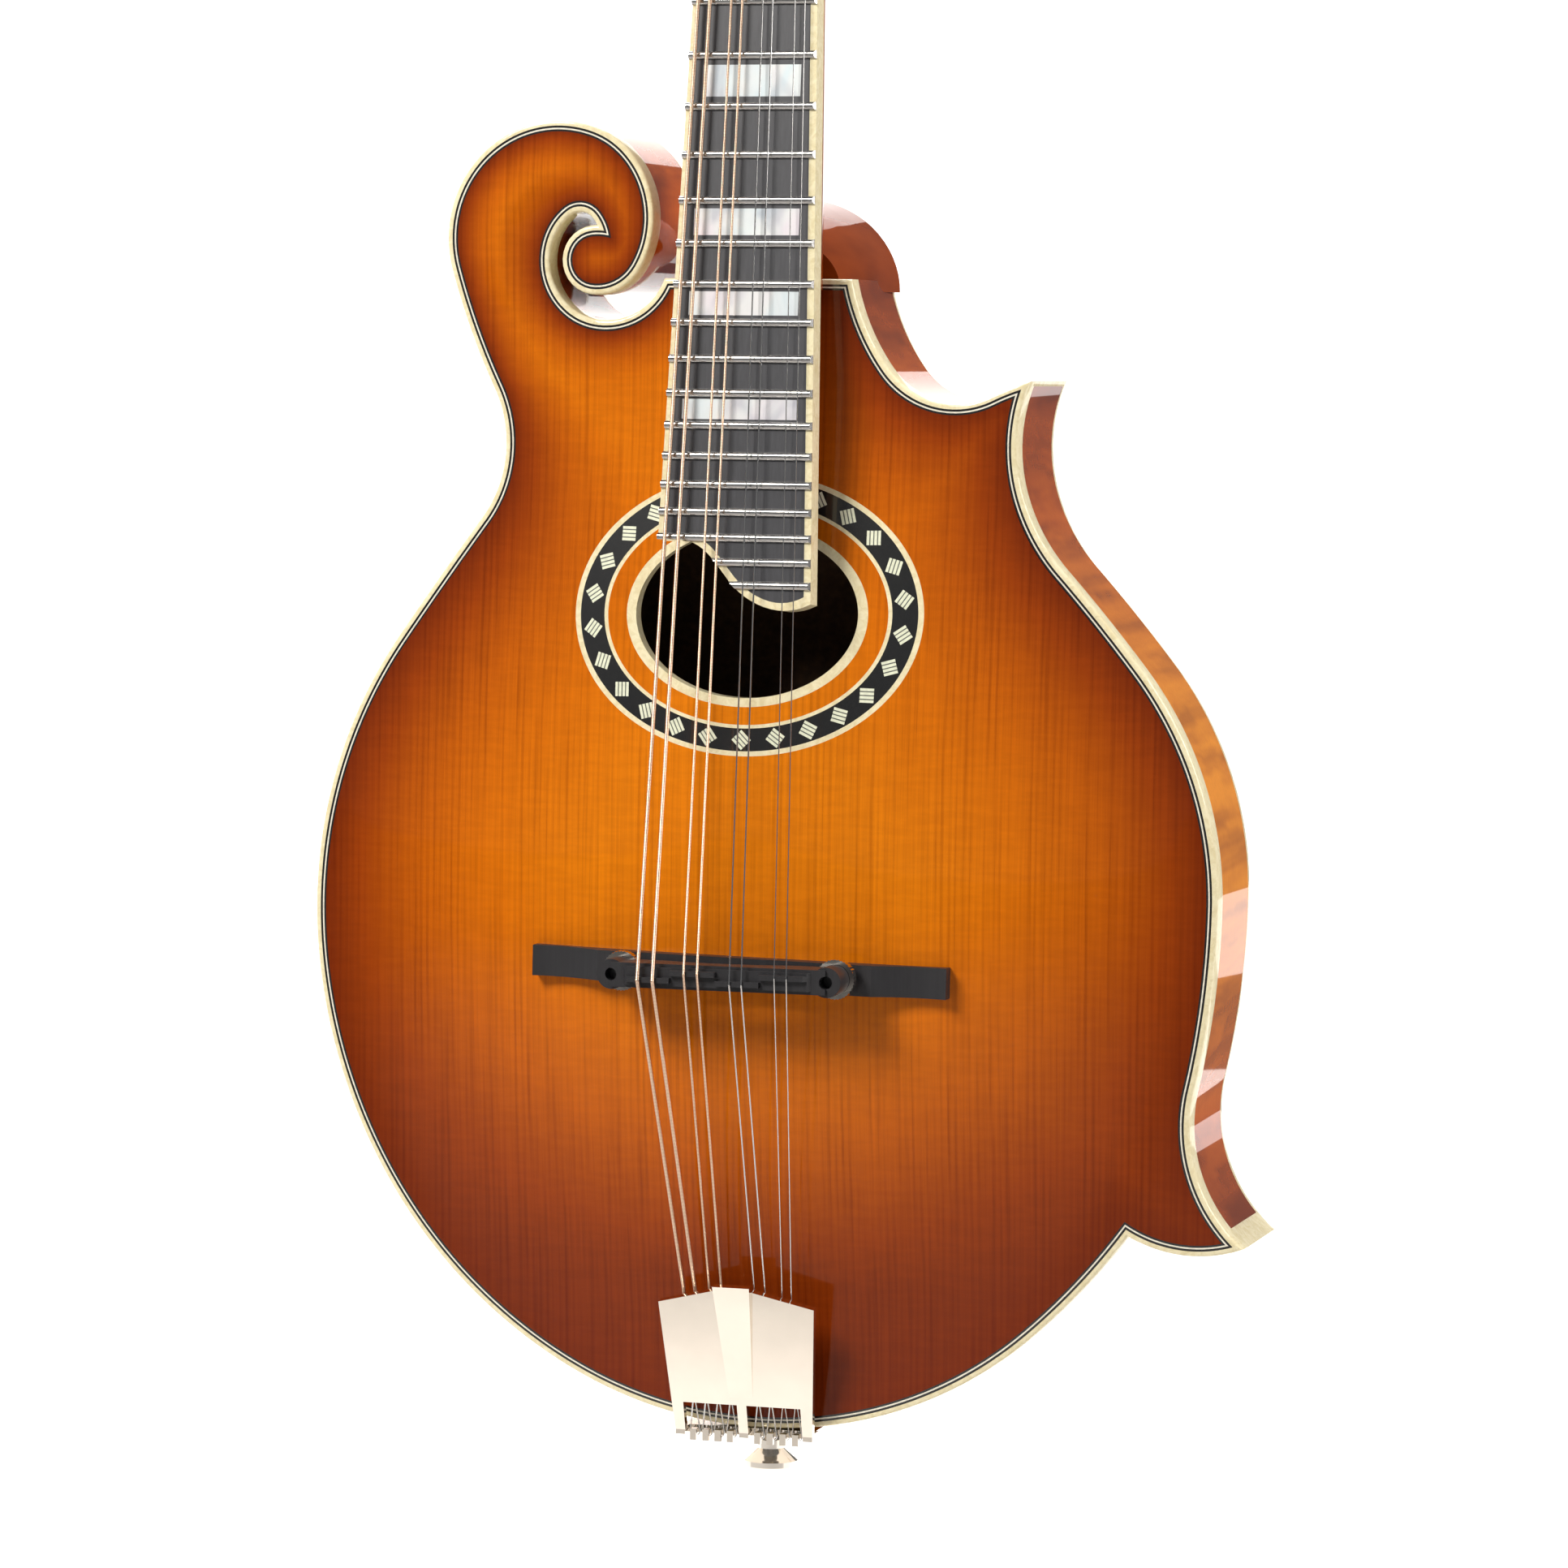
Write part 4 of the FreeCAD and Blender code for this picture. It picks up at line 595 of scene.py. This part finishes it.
def rosette_ovals():
    """Half sizes of the rings, from the hole outwards."""
    ovals, extra = {"hole": (HOLE_HALF_WIDTH, HOLE_HALF_HEIGHT)}, 0.0
    for ring, width in (("binding", 2.5), ("wood", 5.0), ("inner_ring", 1.0), ("band", 6.4),
                        ("outer_ring", 1.4)):
        extra += width
        ovals[ring] = (HOLE_HALF_WIDTH + 1.05 * extra, HOLE_HALF_HEIGHT + 0.92 * extra)
    return ovals


OVALS = rosette_ovals()
INLAY_DEPTH = 1.0
SQUARE_COUNT, SQUARE_SIZE, SQUARE_DEPTH = 26, 3.7, 0.9
LIGHT_STRIP, DARK_STRIP, STRIP_COUNT = 0.70, 0.30, 7
PROUD = 0.01                 # lift of an inlay over the wood round it


def build_rosette_squares():
    """Inlays stood on their corners along the band: light bars with dark lines between."""
    width = (OVALS["inner_ring"][0] + OVALS["band"][0]) / 2
    height = (OVALS["inner_ring"][1] + OVALS["band"][1]) / 2
    turns = [2 * math.pi * k / 720 for k in range(721)]
    ring = [Vector((width * math.sin(a), HOLE_LEVEL + height * math.cos(a))) for a in turns]
    lengths = np.cumsum([0.0] + [(b - a).length for a, b in zip(ring, ring[1:])])
    half = SQUARE_SIZE / 2
    points, faces, kinds = [], [], []
    for n in range(SQUARE_COUNT):
        k = int(np.argmin(np.abs(lengths[:-1] - lengths[-1] * n / SQUARE_COUNT)))
        middle = ring[k]
        run = (ring[k + 1] - middle).normalized()
        long_way = (run + Vector((run.y, -run.x))).normalized()
        across = Vector((-long_way.y, long_way.x))
        edge = -half
        for strip in range(STRIP_COUNT):
            wide = DARK_STRIP if strip % 2 else LIGHT_STRIP
            start = len(points)
            for a, b in ((-half, edge), (half, edge), (half, edge + wide), (-half, edge + wide)):
                p = middle + a * long_way + b * across
                top = FRONT - arch_height(p.x, p.y, FRONT_RISE) - PROUD
                points += [(p.x, top, p.y), (p.x, top + SQUARE_DEPTH, p.y)]
            faces += [tuple(start + i for i in f) for f in
                      ((0, 2, 4, 6), (7, 5, 3, 1), (0, 1, 3, 2), (2, 3, 5, 4), (4, 5, 7, 6),
                       (6, 7, 1, 0))]
            kinds += [strip % 2] * 6
            edge += wide
    squares = new_mesh("rosette_inlays", points, faces, smooth=False)
    squares.data.materials.append(INLAY_LIGHT)
    squares.data.materials.append(INLAY_DARK)
    squares.data.polygons.foreach_set("material_index", kinds)
    replace(squares, "root", "rosette_squares")


def build_plates():
    front = carved_plate("carved_front", FRONT, FRONT_RISE, -1, 0.0, OVALS["binding"],
                         (OVALS["wood"], OVALS["outer_ring"]))
    front.data.materials.append(TOP)
    front.data.materials.append(INSIDE_PAINTED_SHADE)
    replace(front, "root", "soundboard")
    back = carved_plate("carved_back", BACK, BACK_RISE, 1, PURFLING)
    back.data.materials.append(BACK_MAPLE)
    back.data.materials.append(INSIDE_PAINTED_SHADE)
    replace(back, "root", "back_plate")


# Rim, bindings and point caps -------------------------------------------------------------

CAP_ZONES = ((60.0, -206.4, -195.0), (121.5, -423.2, -414.4))    # from x; z from and to


def in_cap_zone(x, z):
    """On the stretch of side that a point's ivory cap covers."""
    return any(x > x0 and z0 < z < z1 for x0, z0, z1 in CAP_ZONES)


# The sides' tone: burst colour, and painted shade on the scroll's side.
DARK_PLACES = (UPPER_TIP, LOWER_TIP, TREBLE_JOINT, (-60.0, -160.0))
DARK_REACH = 90.0


def rim_tone(x, z):
    """Lighter along the waist, darker towards the points, the scroll and the heel: a burst on the
    sides, with painted shade at the scroll.
    """
    nearest = min(math.hypot(x - px, z - pz) for px, pz in DARK_PLACES)
    return min(1.0, nearest / DARK_REACH)


RIM_THICKNESS, CAP_THICKNESS, LINE_DEPTH = 2.2, 1.4, 1.8
# Rounded corner of a binding, as (distance in from its side, distance in from its face).
ROUNDED = [(0.8, 0.0), (0.42, 0.10), (0.14, 0.34), (0.0, 0.8)]
PURFLING_LINES = (("line_inner", BLACK, 0.0, 0.52), ("line_middle", WHITE, 0.52, 0.92),
                  ("line_outer", BLACK, 0.92, PURFLING))


def build_edges():
    y_bind, y_back = FRONT + BINDING_HEIGHT, BACK - BACK_BINDING_HEIGHT
    rim_inner, cap_inner, cap_outer = EDGE - RIM_THICKNESS, EDGE - CAP_THICKNESS, EDGE + 0.06
    rim = outline_band("rim_wall", [(EDGE, y_bind), (EDGE, (y_bind + y_back) / 2), (EDGE, y_back),
                                    (rim_inner, y_back), (rim_inner, y_bind)])
    points = [v.co for v in rim.data.vertices]
    set_attribute(rim, "burst_and_shade", [rim_tone(p.x / MM, p.z / MM) for p in points])
    rim.data.materials.append(RIM_MAPLE)
    replace(rim, "root", "rim")
    front = outline_band("front_edge_binding",
                         [(PURFLING, FRONT)] + [(EDGE - a, FRONT + b) for a, b in ROUNDED]
                         + [(EDGE + 0.02, y_bind), (PURFLING, y_bind)])
    front.data.materials.append(CREAM)
    replace(front, "root", "top_binding")
    back = outline_band("back_edge_binding",
                        [(PURFLING, y_back), (EDGE + 0.02, y_back)]
                        + [(EDGE - a, BACK - b) for a, b in reversed(ROUNDED)]
                        + [(PURFLING, BACK)])
    back.data.materials.append(CREAM)
    replace(back, "root", "back_binding")
    caps = outline_band("ivory_caps", [(cap_inner, y_bind - 1), (cap_outer, y_bind - 1),
                                       (cap_outer, y_back + 1), (cap_inner, y_back + 1)],
                        keep=in_cap_zone)
    caps.data.materials.append(CREAM)
    replace(caps, "root", "point_caps")
    lines = []
    top, bottom = FRONT - PROUD, FRONT + LINE_DEPTH
    for name, material, a, b in PURFLING_LINES:
        line = outline_band("purfling_" + name, [(a, top), (b, top), (b, bottom), (a, bottom)])
        line.data.materials.append(material)
        lines.append(line)
    replace(lines[0], "root", "top_purfling")
    for line in lines[1:]:
        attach(line, "root")


# Frames of the neck and the headstock -----------------------------------------------------

NECK = Matrix.Translation(NUT_PLACE) @ Matrix.Rotation(-NECK_ANGLE, 4, "X")
HEAD = NECK @ Matrix.Translation((0, 0.6, 5.0)) @ Matrix.Rotation(-HEAD_ANGLE, 4, "X")
POST_REACH, FIRST_POST, POST_SPACING = 20.0, 32.0, 23.0
POST_RADIUS, WINDING_MIDDLE = 3.0, -6.0
POSTS = [(side * POST_REACH, FIRST_POST + POST_SPACING * k)
         for side in (-1, 1) for k in range(4)]


# Strings ----------------------------------------------------------------------------------

STRING_X_NUT = (-12.0, -9.2, -4.6, -1.9, 2.1, 4.5, 9.3, 11.7)
STRING_X_SADDLE = (-20.5, -16.4, -8.0, -4.4, 4.2, 7.4, 16.1, 19.3)
STRING_X_FRONT = (-14.0, -10.9, -6.9, -3.6, 5.4, 8.3, 12.9, 15.4)
HOOK_X = (-13.4, -10.0, -6.7, -3.3, 4.2, 7.6, 11.1, 14.5)
STRING_RADII = (0.50, 0.50, 0.33, 0.33, 0.205, 0.205, 0.14, 0.14)
POST_OF_STRING = (1, 2, 3, 4, 8, 7, 6, 5)
BRIDGE_LEVEL, SADDLE_CREST = -353.4, -48.0
CREST_STEPS = ((-26.0, -12.2, -0.9), (-12.2, 0, 1.1), (0, 11.8, -1.1), (11.8, 26.0, 0.9))
HOOK_LEVEL, TWIST_LEVEL = -475.7, -466.5


COVER_TOP, COVER_HEIGHT = -440.0, 14.0    # upper edge of the tail's cover, above the front
COVER_SLOPE = 10.0 / 36.4
COVER_EDGE = -436.5                        # where the strings bend over the cover's rib


def cover_y(z):
    """Depth of the tail's cover at a level."""
    return FRONT - COVER_HEIGHT + (COVER_TOP - z) * COVER_SLOPE


def saddle_point(n):
    x = STRING_X_SADDLE[n]
    shift = next(step for x0, x1, step in CREST_STEPS if x0 <= x < x1)
    crest = SADDLE_CREST + 0.4 * (x / 23.4) ** 2
    return Vector((x, crest - STRING_RADII[n] - 0.2, BRIDGE_LEVEL + shift))


def string_stations(n):
    """The string's bends, from its post to its hook."""
    radius = STRING_RADII[n]
    post_x, post_z = POSTS[POST_OF_STRING[n] - 1]
    side = -1 if post_x > 0 else 1
    leave = HEAD @ Vector((post_x + side * (POST_RADIUS + radius + 0.15),
                           WINDING_MIDDLE + 4.16 * radius + 0.12, post_z))
    nut = NECK @ Vector((STRING_X_NUT[n], -(1.45 + radius), 4.7))
    edge = Vector((STRING_X_FRONT[n], cover_y(COVER_EDGE) + 2.9 + radius, COVER_EDGE))
    twist = Vector((HOOK_X[n], cover_y(TWIST_LEVEL) + 3.2, TWIST_LEVEL))
    return leave, nut, saddle_point(n), edge, twist


def wire_mesh(name, path, radius, material, sides=12, step=None):
    """A round wire along points in millimetres, mitred at its bends."""
    if step:
        dense = [path[0]]
        for a, b in zip(path, path[1:]):
            count = max(1, int((b - a).length / step))
            dense += [a.lerp(b, (k + 1) / count) for k in range(count)]
        path = dense
    points, faces = [], []
    side_axis = None
    for k, p in enumerate(path):
        ahead = (path[min(k + 1, len(path) - 1)] - path[max(k - 1, 0)]).normalized()
        if side_axis is None:
            side_axis = ahead.cross(Vector((0.3, 1, 0.2))).normalized()
        side_axis = (side_axis - ahead * side_axis.dot(ahead)).normalized()
        up = ahead.cross(side_axis)
        for j in range(sides):
            a = 2 * math.pi * j / sides
            q = p + radius * (math.cos(a) * side_axis + math.sin(a) * up)
            points.append(tuple(q))
        if k:
            for j in range(sides):
                i = (j + 1) % sides
                faces.append(((k - 1) * sides + j, (k - 1) * sides + i, k * sides + i,
                              k * sides + j))
    faces.append(tuple(reversed(range(sides))))
    last = (len(path) - 1) * sides
    faces.append(tuple(range(last, last + sides)))
    piece = new_mesh(name, points, faces)
    piece.data.materials.append(material)
    return piece


LOOP_REACH, LOOP_WIRE = 1.35, 0.2


def loop_path(n, twist):
    """The looped end round its hook, and the radius of the loop's wire."""
    x, y = twist.x, twist.y
    radius = min(STRING_RADII[n], LOOP_WIRE)
    top = twist.z - radius * 2 - 0.35
    path = [Vector((x + 0.24, y, top))]
    for k in range(19):
        a = math.radians(10 - 200 * k / 18)
        path.append(Vector((x + LOOP_REACH * math.cos(a), y + 1.2,
                            HOOK_LEVEL + LOOP_REACH * math.sin(a))))
    path.append(Vector((x - 0.24, y, top)))
    return path, radius


def build_strings():
    wound_parts, plain_parts = [], []
    for n in range(8):
        leave, nut, saddle, edge, twist = string_stations(n)
        radius = STRING_RADII[n]
        material = WOUND if n < 4 else STEEL
        front = wire_mesh(f"string_{n + 1}_playing", [leave, nut, saddle], radius, material,
                          step=8.0)
        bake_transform(front)
        rear = wire_mesh(f"string_{n + 1}_tail", [saddle, edge, twist], radius, material, step=6.0)
        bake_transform(rear)
        path, thin = loop_path(n, twist)
        loop = wire_mesh(f"string_{n + 1}_loop", path, thin, STEEL, sides=8)
        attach(loop, "root")
        (wound_parts if n < 4 else plain_parts).append(front)
    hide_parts("strings_wound")
    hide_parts("strings_plain")


# Tuning machines --------------------------------------------------------------------------

WORM_DEPTH, WORM_DROP = 18.1, 9.4          # place of the worm's axis from its post
WORM_LEAD, WORM_CORE, WORM_TURNS = 2.55, 2.2, 3.6
TURN_STEPS, FADE_STEPS = 28, 10
THREAD_HEIGHT, THREAD_CREST, THREAD_FOOT, THREAD_ROOT = 0.78, 0.16, 0.42, 0.1


def build_worm_threads():
    """The worm's thread on each key, one start, in step with the gear."""
    for number, (x, z) in enumerate(POSTS, start=1):
        side = 1 if x > 0 else -1
        origin = Vector((x, WORM_DEPTH, z - WORM_DROP))
        points, faces = [], []
        steps = int(WORM_TURNS * TURN_STEPS)
        for k in range(steps + 1):
            angle = 2 * math.pi * k / TURN_STEPS
            along = side * (k / TURN_STEPS - WORM_TURNS / 2) * WORM_LEAD
            fade = min(1.0, k / FADE_STEPS, (steps - k) / FADE_STEPS)
            root, crest = WORM_CORE - THREAD_ROOT, WORM_CORE + THREAD_HEIGHT * fade
            for radius, shift in ((root, -THREAD_FOOT), (crest, -THREAD_CREST),
                                  (crest, THREAD_CREST), (root, THREAD_FOOT)):
                p = origin + Vector((along + shift, radius * math.cos(angle),
                                     radius * math.sin(angle)))
                points.append(tuple(HEAD @ p))
            if k:
                a, b = (k - 1) * 4, k * 4
                for j in range(4):
                    i = (j + 1) % 4
                    faces.append((a + j, a + i, b + i, b + j))
        faces.append((3, 2, 1, 0))
        faces.append(tuple(steps * 4 + j for j in range(4)))
        thread = new_mesh(f"worm_thread_{number}", points, faces)
        thread.data.materials.append(NICKEL)
        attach(thread, f"key_{number}")


def split_by(name, materials, choose):
    """Give one CAD node several materials, chosen from each face's middle in head axes."""
    mesh = NODES[name].data
    mesh.materials.clear()
    for material in materials:
        mesh.materials.append(material)
    back = HEAD.inverted()
    for polygon in mesh.polygons:
        local = back @ (Vector(polygon.center) / MM)
        polygon.material_index = choose(local)


BUTTON_START = 15.4          # from the post's axis outwards, the key is its pearl button


def finish_tuners():
    """Metal, with the string's turns on each post and a pearl button on each key."""
    for number, (x, z) in enumerate(POSTS, start=1):
        string = POST_OF_STRING.index(number)
        radius = STRING_RADII[string]

        def on_winding(p, x=x, z=z, radius=radius):
            off_axis = math.hypot(p.x - x, p.z - z)
            near = abs(p.y - WINDING_MIDDLE) < 4.2 * radius
            return 1 if off_axis > POST_RADIUS + 0.01 and near else 0

        split_by(f"string_post_{number}", [NICKEL, WOUND if string < 4 else STEEL], on_winding)
        side = 1 if x > 0 else -1
        split_by(f"tuner_key_{number}", [NICKEL, PEARL],
                 lambda p, x=x, side=side: 1 if side * (p.x - x) > BUTTON_START else 0)


# CAD nodes that keep their shape ----------------------------------------------------------

FINISHES = {
    "rosette_band": BLACK, "rosette_rings": CREAM,
    "soundhole_binding": CREAM, "head_block": INNER_WOOD, "tail_block": INNER_WOOD,
    "point_blocks": INNER_WOOD, "top_lining": INNER_WOOD, "back_lining": INNER_WOOD,
    "top_braces": INNER_WOOD, "fretboard": BOARD_EBONY, "fretboard_binding": CREAM,
    "fret_inlays": PEARL, "frets": FRET_WIRE, "side_dots": BLACK, "nut": BONE,
    "neck": NECK_FINISH, "truss_rod": STEEL, "neck_extension": NECK_FINISH,
    "headstock_veneer": HEAD_BLACK, "headstock_binding": CREAM, "truss_rod_cover": HEAD_BLACK,
    "truss_cover_screws": NICKEL, "tuner_plate_bass": NICKEL, "tuner_plate_treble": NICKEL,
    "tuner_plate_screws": NICKEL, "post_bushings": NICKEL, "bridge_base": EBONY,
    "bridge_posts": POST_STEEL, "thumbwheel_bass": NICKEL, "thumbwheel_treble": NICKEL,
    "bridge_saddle": EBONY, "tailpiece": COVER_NICKEL, "tailpiece_screws": NICKEL,
    "strap_button": NICKEL,
}


# Stage ------------------------------------------------------------------------------------

# Metres from here on.
FLOOR_LEVEL, FLOOR_FRONT, WALL_LEFT, WALL_RIGHT, FLOOR_RIGHT = -0.62, -4.0, -9.0, 0.15, 4.0
BEND_START, BEND_RADIUS, WALL_TOP = 1.2, 0.8, 4.0


def stage_sheet(name, profile, x0, x1, material):
    """A sheet of one profile along X, for new_mesh in millimetres."""
    points, faces = [], []
    for y, z in profile:
        points += [(x / MM, y / MM, (z + FLOOR_LEVEL) / MM) for x in (x0, x1)]
    for k in range(len(profile) - 1):
        faces.append((2 * k, 2 * k + 1, 2 * k + 3, 2 * k + 2))
    sheet = new_mesh(name, points, faces)
    sheet.data.materials.append(material)


def build_stage():
    """A pale floor, and a backdrop that curves up out of it and is clear from behind."""
    white = Shader("studio_white", Roughness=0.9)
    place = white.node("ShaderNodeSeparateXYZ")
    white.link(white.coords((0.001, 0.001, 0.001)), place.inputs[0])
    # Darker in front of the object, where only its own reflections show the floor.
    white.colour(white.ramp(white.math("ADD", place.outputs["Y"], 0.35, clamp=True),
                            [(0.09, (0.38, 0.37, 0.36)), (0.15, (0.70, 0.68, 0.66)),
                             (0.4, (0.70, 0.68, 0.66)), (0.9, (0.92, 0.91, 0.90))]))
    clear = white.node("ShaderNodeBsdfTransparent")
    one_sided = white.node("ShaderNodeMixShader")
    white.link(white.node("ShaderNodeNewGeometry").outputs["Backfacing"], one_sided.inputs[0])
    white.link(white.bsdf.outputs[0], one_sided.inputs[1])
    white.link(clear.outputs[0], one_sided.inputs[2])
    white.link(one_sided.outputs[0], white.material.node_tree.nodes["Material Output"].inputs[0])
    stage_sheet("studio_floor", [(FLOOR_FRONT, 0.0), (BEND_START, 0.0)], WALL_LEFT, FLOOR_RIGHT,
                white.material)
    curve = [(BEND_START + BEND_RADIUS * math.sin(a), BEND_RADIUS * (1 - math.cos(a)))
             for a in [math.radians(10 * k) for k in range(10)]]
    stage_sheet("studio_backdrop", curve + [(BEND_START + BEND_RADIUS, WALL_TOP)], WALL_LEFT,
                WALL_RIGHT, white.material)


def area_light(name, place, target, size, power, colour=(1, 1, 1)):
    data = bpy.data.lights.new(name, "AREA")
    data.shape = "RECTANGLE"
    data.size, data.size_y = size
    data.energy, data.color = power, colour
    lamp = bpy.data.objects.new(name, data)
    lamp.location = place
    lamp.rotation_euler = (Vector(target) - Vector(place)).to_track_quat("-Z", "Y").to_euler()
    lamp.visible_camera = False
    bpy.context.scene.collection.objects.link(lamp)


def build_light():
    """A soft key from the upper left, a side light, a low card and the backdrop's own light."""
    world = bpy.data.worlds.new("studio")
    world.use_nodes = True
    background = world.node_tree.nodes["Background"]
    background.inputs["Color"].default_value = (0.95, 0.97, 1.0, 1)
    background.inputs["Strength"].default_value = 0.16
    bpy.context.scene.world = world
    area_light("key", (-0.60, -1.00, 0.62), (0, 0, -0.25), (0.5, 0.5), 25, (1.0, 0.97, 0.92))
    area_light("side", (1.5, 0.05, 0.45), (0.1, 0, -0.32), (0.8, 0.8), 22, (1.0, 0.97, 0.93))
    area_light("right_card", (0.75, 1.7, -0.55), (0.12, 0.2, -0.50), (1.5, 0.14), 0.8)
    area_light("backdrop_light", (-0.9, 0.6, 1.5), (-0.9, 1.9, 0.0), (2.2, 0.8), 85)
    bpy.context.scene.view_settings.view_transform = "Standard"


CAMERA_PLACE = Vector((0.44463, -1.45176, -0.19620))
CAMERA_YAW, CAMERA_PITCH, CAMERA_ROLL = (math.radians(a) for a in (16.897, 4.155, 0.556))
CAMERA_LENS, CAMERA_SENSOR = 133.13, 36.0


def build_camera():
    forward = Vector((-math.sin(CAMERA_YAW) * math.cos(CAMERA_PITCH),
                      math.cos(CAMERA_YAW) * math.cos(CAMERA_PITCH), -math.sin(CAMERA_PITCH)))
    right = Vector((math.cos(CAMERA_YAW), math.sin(CAMERA_YAW), 0))
    down = forward.cross(right)
    c, s = math.cos(CAMERA_ROLL), math.sin(CAMERA_ROLL)
    across = c * right - s * down
    up = -(s * right + c * down)
    data = bpy.data.cameras.new("camera")
    data.sensor_width = CAMERA_SENSOR
    data.lens = CAMERA_LENS
    data.clip_end = 20.0
    camera = bpy.data.objects.new("camera", data)
    axes = Matrix((across, up, -forward)).transposed()
    camera.matrix_world = Matrix.Translation(CAMERA_PLACE) @ axes.to_4x4()
    bpy.context.scene.collection.objects.link(camera)
    bpy.context.scene.camera = camera


build_plates()
build_rosette_squares()
build_edges()
build_strings()
build_worm_threads()
finish_tuners()
for node_name, node_material in FINISHES.items():
    finish_node(node_name, node_material)
build_stage()
build_light()
build_camera()
